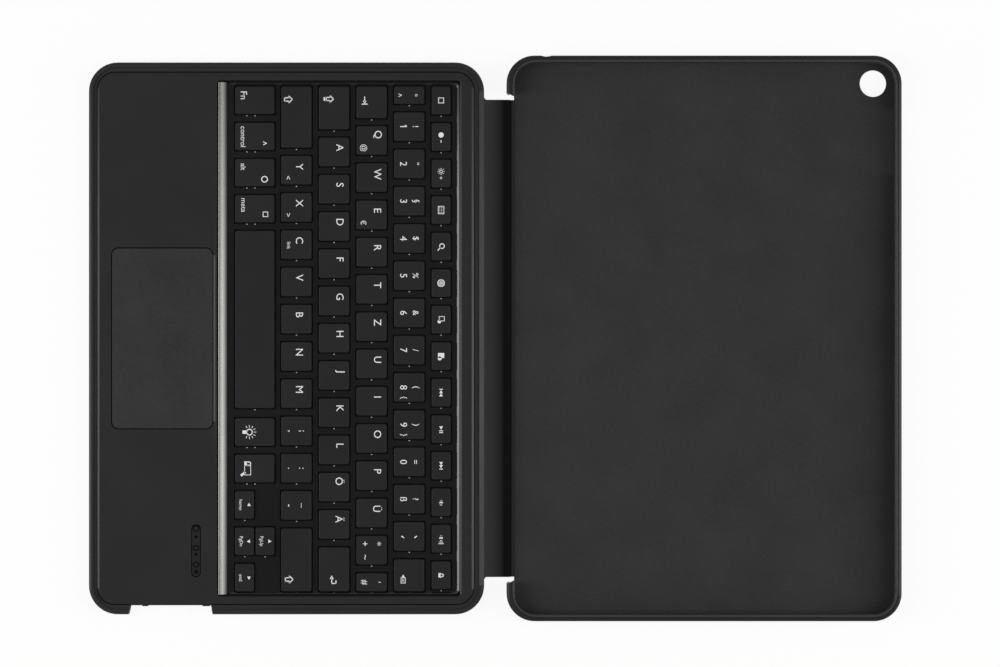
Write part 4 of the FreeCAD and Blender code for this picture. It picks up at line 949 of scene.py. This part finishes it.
sign("left_shift", open_arrow(3.4), -7.9, -3.7)
sign("right_shift", open_arrow(3.4), 8.8, -3.4)
sign("caps_lock", open_arrow(3.2) + [stroke(0, -2.3, 1.6, 0.7)], -4.0, -2.0)
sign("tab", [stroke(-0.5, 0, 2.6, LINE), point(0.6, 0, 1.0, -90), stroke(1.6, 0, LINE, 2.6)], -0.8, -3.1)
sign("enter", [stroke(0.3, -0.6, 2.6, LINE), stroke(1.6, 0.3, LINE, 2.2), stroke(1.0, 1.3, 1.6, LINE),
               point(-0.9, -0.6, 1.1, 90)], 4.7, -0.4)
sign("backspace", [box_line(0.4, 0, 2.6, 2.2, 0.4), point(-1.3, 0, 1.0, 90), stroke(0.4, 0, 0.3, 1.3, 45),
                   stroke(0.4, 0, 0.3, 1.3, -45)], 1.9, -2.7)
sign("alt", [ring(0, 0, 1.5, LINE)], 3.0, 4.4)
sign("meta", [ring(0, 0, 1.7, LINE, 4, 45)], 2.5, 4.8)
sign("backlight", lamp_sign(4.2), 0, -2.9)
sign("touchpad_lock", [box_line(0.8, 0, 4.4, 3.0, 0.4), stroke(2.4, -2.0, 1.0, 2.6, 40),
                       ring(-2.2, 0.6, 1.0, LINE), stroke(-2.2, -0.7, 2.0, 1.6)], 0, -3.2)
for way, turn in (("left", 90), ("down", 180), ("up", 0), ("right", -90)):
    sign("arrow_" + way, [point(0, 0, 0.95, turn)], 0, 2.0)

FUNCTION_SIGNS = [
    [box_line(0, 0, 2.6, 2.6, 0.45)],
    [disc(-0.9, 0, 1.19), stroke(2.0, 0, 1.1, 0.4)],
    lit_sun(-0.9, 1.4) + [stroke(2.0, 0, 1.1, 0.4), stroke(2.0, 0, 0.4, 1.1)],
    [box_line(0, 0, 3.6, 2.8, 0.4)] + [stroke(x, y, 0.4, 0.4) for x in (-1, 0, 1) for y in (-0.6, 0.3)],
    [ring(-0.2, 0.4, 1.25, 0.4), stroke(1.1, -0.9, 0.45, 1.9, 45)],
    [ring(0, 0, 1.7, 0.45), stroke(0, 0, 3.0, 0.4), stroke(0, 0, 0.4, 3.0), ring(0, 0, 0.9, 0.4)],
    [box_line(-0.4, 0.3, 2.2, 2.6, 0.4), disc(0.9, -0.8, 0.8)],
    [stroke(-0.3, 0, 2.2, 2.8), disc(1.0, -0.6, 0.9)],
    [point(-0.2, 0, 0.95, 90), point(1.2, 0, 0.95, 90), stroke(-1.5, 0, 0.4, 1.6)],
    [point(-0.8, 0, 1.0, -90), stroke(0.7, 0, 0.4, 1.7), stroke(1.5, 0, 0.4, 1.7)],
    [point(-1.2, 0, 0.95, -90), point(0.2, 0, 0.95, -90), stroke(1.5, 0, 0.4, 1.6)],
    speaker(0.0) + [stroke(1.2, 0, 0.3, 1.0)],
    speaker(-0.5) + [stroke(0.8, 0, 0.3, 1.0), stroke(1.5, 0, 0.3, 1.7), stroke(2.2, 0, 0.3, 2.4)],
    lock_sign(2.4),
]
for i, shapes in enumerate(FUNCTION_SIGNS):
    draw(FUNCTION, i, shapes)
print("signs on the function keys:", len(FUNCTION_SIGNS))

# %% [markdown]
# Each key body now gets its marks as one piece. The two homing keys also have a low ridge near their front
# edge, in the colour of the key, so it is a piece of its own.

# %% Marks: pieces
for node, parts in marks.items():
    if parts:
        printed = hold(gather(parts), node.replace("keycaps_", "marks_").replace("keycap_", "marks_"))
        piece(printed, node.replace("keycap", "key"), PRINT)
HOMING_KEYS = (3, 6)
RIDGE_LOW, RIDGE_HIGH = Vector((-4.6, -1.7, -0.1)), Vector((-4.0, 1.7, 0.18))
RIDGE_CORNER, RIDGE_RIM = 0.25, 0.12
ridges = []
spots, height = KEY_SPOTS[HOME]
for index in HOMING_KEYS:
    place = Vector((*spots[index], height))
    ridges.append(slab(place + RIDGE_LOW, place + RIDGE_HIGH, RIDGE_CORNER, RIDGE_RIM, corner_steps=3,
                       rim_steps=2))
piece(hold(gather(ridges), "homing_ridges"), "keys_home_letters", KEY_PLASTIC)
print("printed pieces:", sum(1 for m in marks.values() if m))

# %% [markdown]
# The spine is a soft skin over a narrow panel. It bends along two lines, at the deck and at the shell, so it
# is made as two strips that meet in the middle of the panel, one at each fold. Cross cuts along the section
# give enough points for a smooth curve.

# %% Spine skin
SPINE_PAINTED_SHADE = finish("spine_coat_painted_shade", grey(0.6), grey(0.8), grain=3000, smooth=0.5, rough=0.65, bump=0.08,
                    gloss=0.03)
# Painted shade: the skin's grey is ramped darker towards the shell.
paint_shading_across(SPINE_PAINTED_SHADE, -5.0, 6.0, ((0.0, 0.05), (0.35, 0.036), (0.7, 0.017), (0.82, 0.004), (1.0, 0.003)))
SPINE_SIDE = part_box("spine_panel")[1].y / MM
SPINE_MIDDLE = 0.7
SPINE_ROUND = 0.25
SPINE_SMOOTH = math.radians(50)
FLARE_FROM, FLARE = -4.5, 0.9
# Sections of the two strips, round their outline, along the case and in height
DECK_STRIP = [(-4.95, 5.5), (-4.6, 5.1), (-4.25, 4.9), (-3.9, 4.8), (-3.5, 4.76), (-3.1, 4.74), (-2.7, 4.73),
              (-2.2, 4.72), (-1.6, 4.71), (-0.5, 4.7), (SPINE_MIDDLE, 4.7),
              (SPINE_MIDDLE, 3.25), (-0.5, 3.25), (-1.6, 3.24), (-2.2, 3.23), (-2.7, 3.22), (-3.1, 3.21),
              (-3.5, 3.2), (-3.9, 3.15), (-4.25, 3.05), (-4.6, 2.9), (-4.95, 2.6)]
SHELL_STRIP = [(SPINE_MIDDLE, 4.7), (2.0, 4.7), (3.2, 4.7), (4.0, 4.71), (4.4, 4.72), (4.8, 4.74),
               (5.2, 4.75), (5.6, 4.72), (6.0, 4.62), (6.4, 4.42), (6.8, 4.1), (7.1, 3.6), (7.3, 2.8),
               (7.5, 1.6), (7.1, 1.55), (6.95, 2.8), (6.8, 3.6), (6.6, 4.02), (6.0, 4.05), (5.6, 4.05),
               (5.2, 4.0),
               (4.85, 3.4), (4.4, 3.22), (4.0, 3.22), (3.2, 3.24), (2.0, 3.25), (SPINE_MIDDLE, 3.25)]


def strip(name, section):
    bm = prism(section, -SPINE_SIDE, SPINE_SIDE, "Y")
    ends = [e for e in bm.edges if abs(abs(e.verts[0].co.y) - SPINE_SIDE * MM) < TINY
            and abs(e.verts[0].co.y - e.verts[1].co.y) < TINY
            and not all(abs(v.co.x - SPINE_MIDDLE * MM) < TINY for v in e.verts)]
    round_edges(bm, ends, SPINE_ROUND, 2)
    flare = [v for v in bm.verts if v.co.x < FLARE_FROM * MM]
    bmesh.ops.scale(bm, vec=(1, 1 + FLARE / SPINE_SIDE, 1), verts=flare)
    made = hold(bm, name)
    shade(made, SPINE_PAINTED_SHADE, SPINE_SMOOTH)
    return made


deck_strip = strip("spine_skin_at_deck", DECK_STRIP)
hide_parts("spine_panel")
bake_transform(deck_strip)
shell_strip = strip("spine_skin_at_shell", SHELL_STRIP)
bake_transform(shell_strip)
print("spine skin: %.1f mm long" % (2 * SPINE_SIDE))

# %% [markdown]
# The bumper is a soft frame that holds the device by its edges: a wall, and above it a lip with a step in it.
# The side at the spine is open. It is cut as in the solids, with holes for plugs, sound and buttons, and a
# shallow scoop at the small round plug.

# %% Shell bumper
BUMPER_RUBBER = finish("bumper_rubber", grey(0.006), grey(0.010), grain=3200, smooth=0.28, rough=0.36,
                       bump=0.07, gloss=0.17)
low, high = box_mm("shell_bumper")
SHELL_WALL = 1.3
LIP_REACH, LIP_UNDER = 2.2, 9.2
STEP_IN, STEP_DOWN = 1.6, 0.3
NEAR_WIDER = 0.8
SHELL_CORNER, SHELL_RIM, SHELL_FOOT, SHELL_EDGE = 12.55, 1.5, 0.8, 0.18
# Half the open side at two distances from the outer face
OPEN_SIDE = ((-1.0, 110.7), (6.0, 107.0))
SCOOP_AT, SCOOP_ROUND, SCOOP_DEEP = low.x + 17.9, 6.0, 0.55
POST_STEPS = 48
middle_x = (low.x + high.x) / 2
# Holes in the walls: place along the wall, length, height and side
WALL_HOLES = ((middle_x, 14.0, 5.0, -1), (middle_x - 42, 22.0, 2.4, -1), (middle_x + 42, 22.0, 2.4, -1),
              (low.x + 18, 7.0, 5.0, 1), (high.x - 25, 16.0, 3.4, 1))
HOLE_UP, HOLE_DEEP, HOLE_FLAT = 5.4, 6.0, 0.05
BUTTON_AT, BUTTON_LONG, BUTTON_TALL, BUTTON_FLAT = 88.0, 30.0, 3.4, 0.1


def shell_block(inset, under, over, top=0.0, foot=0.0, near=0.0):
    return slab((low.x + inset + near, low.y + inset, under), (high.x - inset, high.y - inset, over),
                SHELL_CORNER - inset, top, foot, corner_steps=14, rim_steps=5)


def open_side():
    (out, out_half), (inside, inside_half) = OPEN_SIDE
    return prism([(low.x + out, -out_half), (low.x + inside, -inside_half), (low.x + inside, inside_half),
                  (low.x + out, out_half)], -PAST, high.z + PAST, "Z")


def round_post(x, y, radius, under, over):
    bm = bmesh.new()
    place = Matrix.Translation(Vector((x, y, (under + over) / 2)) * MM)
    bmesh.ops.create_cone(bm, cap_ends=True, segments=POST_STEPS, radius1=radius * MM, radius2=radius * MM,
                          depth=(over - under) * MM, matrix=place)
    return bm


def slot(place, size, way, flat):
    hole = slab(Vector(place) - Vector(size) / 2, Vector(place) + Vector(size) / 2)
    along = [e for e in hole.edges if abs(e.verts[0].co[way] - e.verts[1].co[way]) > TINY]
    round_edges(hole, along, size[2] / 2 - flat, 6)
    return hole


bumper = hold(shell_block(0, low.z, high.z, SHELL_RIM, SHELL_FOOT), "shell_bumper_skin")
step = shell_block(STEP_IN, high.z - STEP_DOWN, high.z + PAST, near=NEAR_WIDER)
cavity = shell_block(SHELL_WALL, -PAST, LIP_UNDER)
mouth = shell_block(SHELL_WALL + LIP_REACH, LIP_UNDER - PAST, high.z + PAST)
scoop = round_post(SCOOP_AT, high.y + SCOOP_ROUND - SCOOP_DEEP, SCOOP_ROUND, -PAST, high.z + PAST)
holes = [slot((x, side * high.y, HOLE_UP), (wide, HOLE_DEEP, tall), 1, HOLE_FLAT)
         for x, wide, tall, side in WALL_HOLES]
holes.append(slot((high.x, BUTTON_AT, HOLE_UP), (HOLE_DEEP, BUTTON_LONG, BUTTON_TALL), 0, BUTTON_FLAT))
carve(bumper, [step, cavity, mouth, open_side(), scoop] + holes)
break_edges(bumper, SHELL_EDGE)
piece(bumper, "shell", BUMPER_RUBBER, "shell_bumper")
print("bumper faces:", len(bumper.data.polygons))

# %% [markdown]
# A raised bead of a smoother rubber runs along the lip and shows as a paler line beside the dark outer edge.
# Besides its gloss, its grey is painted lighter than the bumper's: a painted highlight along the bead. It is
# a
# ring: one block cut out of another, with soft edges.

# %% Bead on the lip
# Lighter than the bumper rubber: a painted highlight
BEAD_RUBBER_PAINTED_LIGHT = finish("bead_rubber_painted_light", grey(0.016), grey(0.024), grain=3200, smooth=0.26, rough=0.34, bump=0.05,
                     gloss=0.3)
BEAD_IN, BEAD_WIDE, BEAD_SUNK, BEAD_EDGE = 1.95, 1.0, 0.1, 0.32
BEAD_NEAR = 0.6
bead = hold(shell_block(BEAD_IN, high.z - STEP_DOWN - BEAD_SUNK, high.z, near=NEAR_WIDER), "lip_bead")
bead_mouth = shell_block(BEAD_IN + BEAD_WIDE, high.z - PAST, high.z + PAST, near=BEAD_NEAR)
carve(bead, [bead_mouth, open_side()])
break_edges(bead, BEAD_EDGE, 4)
piece(bead, "shell", BEAD_RUBBER_PAINTED_LIGHT)
print("bead faces:", len(bead.data.polygons))

# %% [markdown]
# The floor of the shell is lined with a thin napped cloth that keeps the device from scratches. It is a sheet
# with round corners and a hole for the camera. Its nap is a soft fuzz, which the sheen of the shader gives
# at grazing angles, and small tufts come from a fine noise in tone and relief.

# %% Napped lining
NAP = finish("napped_cloth", grey(0.022), grey(0.036), grain=1500, smooth=0.85, rough=0.98, bump=0.5,
             gloss=0.05)
SHEEN = {"Sheen Weight": 0.25, "Sheen Roughness": 0.5}
fill(NAP.node_tree, NAP.node_tree.nodes["Principled BSDF"], SHEEN)
low, high = box_mm("shell_lining")
LINING_CORNER, LINING_RIM = 10.65, 0.12
# Place and radius
CAMERA_HOLE = (170.375, 114.8, 6.0)
cloth = slab(low, high, LINING_CORNER, LINING_RIM, corner_steps=LARGE_STEPS, rim_steps=2)
lining = hold(cloth, "napped_lining")
carve(lining, [round_post(*CAMERA_HOLE, low.z - PAST, high.z + PAST)])
piece(lining, "shell", NAP, "shell_lining")
print("lining: %.1f by %.1f mm" % (high.x - low.x, high.y - low.y))

# %% [markdown]
# The other solids already have the right shape, most of them inside the unit. They keep it and only take a
# finish of their own: coated plastic, steel, circuit board, rubber, clear film and the wrap of the cell.

# %% Finishes of the remaining solids
STEEL = finish("plain_steel", (0.42, 0.42, 0.43), (0.55, 0.55, 0.56), grain=1200, smooth=0.25, rough=0.4,
               metal=1.0, gloss=0.5)
NICKEL = finish("nickel_plate", (0.55, 0.54, 0.52), (0.66, 0.65, 0.63), smooth=0.15, rough=0.28, metal=1.0,
                gloss=0.5)
BOARD = finish("board_resin", (0.006, 0.03, 0.014), (0.012, 0.06, 0.025), grain=700, smooth=0.25, rough=0.4,
               gloss=0.4)
FILM = finish("black_film", grey(0.003), grey(0.005), grain=400, smooth=0.4, rough=0.55, gloss=0.1)
GUIDE = finish("light_guide", grey(0.7), grey(0.8), smooth=0.12, rough=0.25, gloss=0.5)
WRAP = finish("cell_wrap", (0.3, 0.31, 0.33), (0.4, 0.41, 0.43), grain=500, smooth=0.3, rough=0.45, gloss=0.4)
LAMP = finish("lamp_resin", (0.7, 0.68, 0.5), (0.8, 0.78, 0.6), smooth=0.2, rough=0.35, gloss=0.5)
SHELL_COAT = finish("shell_coat", grey(0.012), grey(0.015), grain=2800, smooth=0.42, rough=0.46, bump=0.1,
                    gloss=0.17)
LOOKS = {
    "base_housing": PALM_COAT, "key_lattice": LATTICE_PLASTIC, "membrane_sheet": FILM, "support_plate": STEEL,
    "backlight_guide": GUIDE, "touchpad_carrier": KEY_PLASTIC, "touchpad_switch": STEEL,
    "battery_cell": WRAP, "main_board": BOARD, "charge_socket": NICKEL, "power_switch_body": STEEL,
    "power_switch_knob": KEY_PLASTIC, "pair_switch": STEEL, "pair_button": KEY_PLASTIC,
    "indicator_leds": LAMP, "housing_screws": STEEL, "wake_magnets": NICKEL, "shell_back": SHELL_COAT,
}
for node, look in LOOKS.items():
    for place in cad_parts[node].material_slots:
        place.material = look
print("solids that keep their shape:", len(LOOKS))
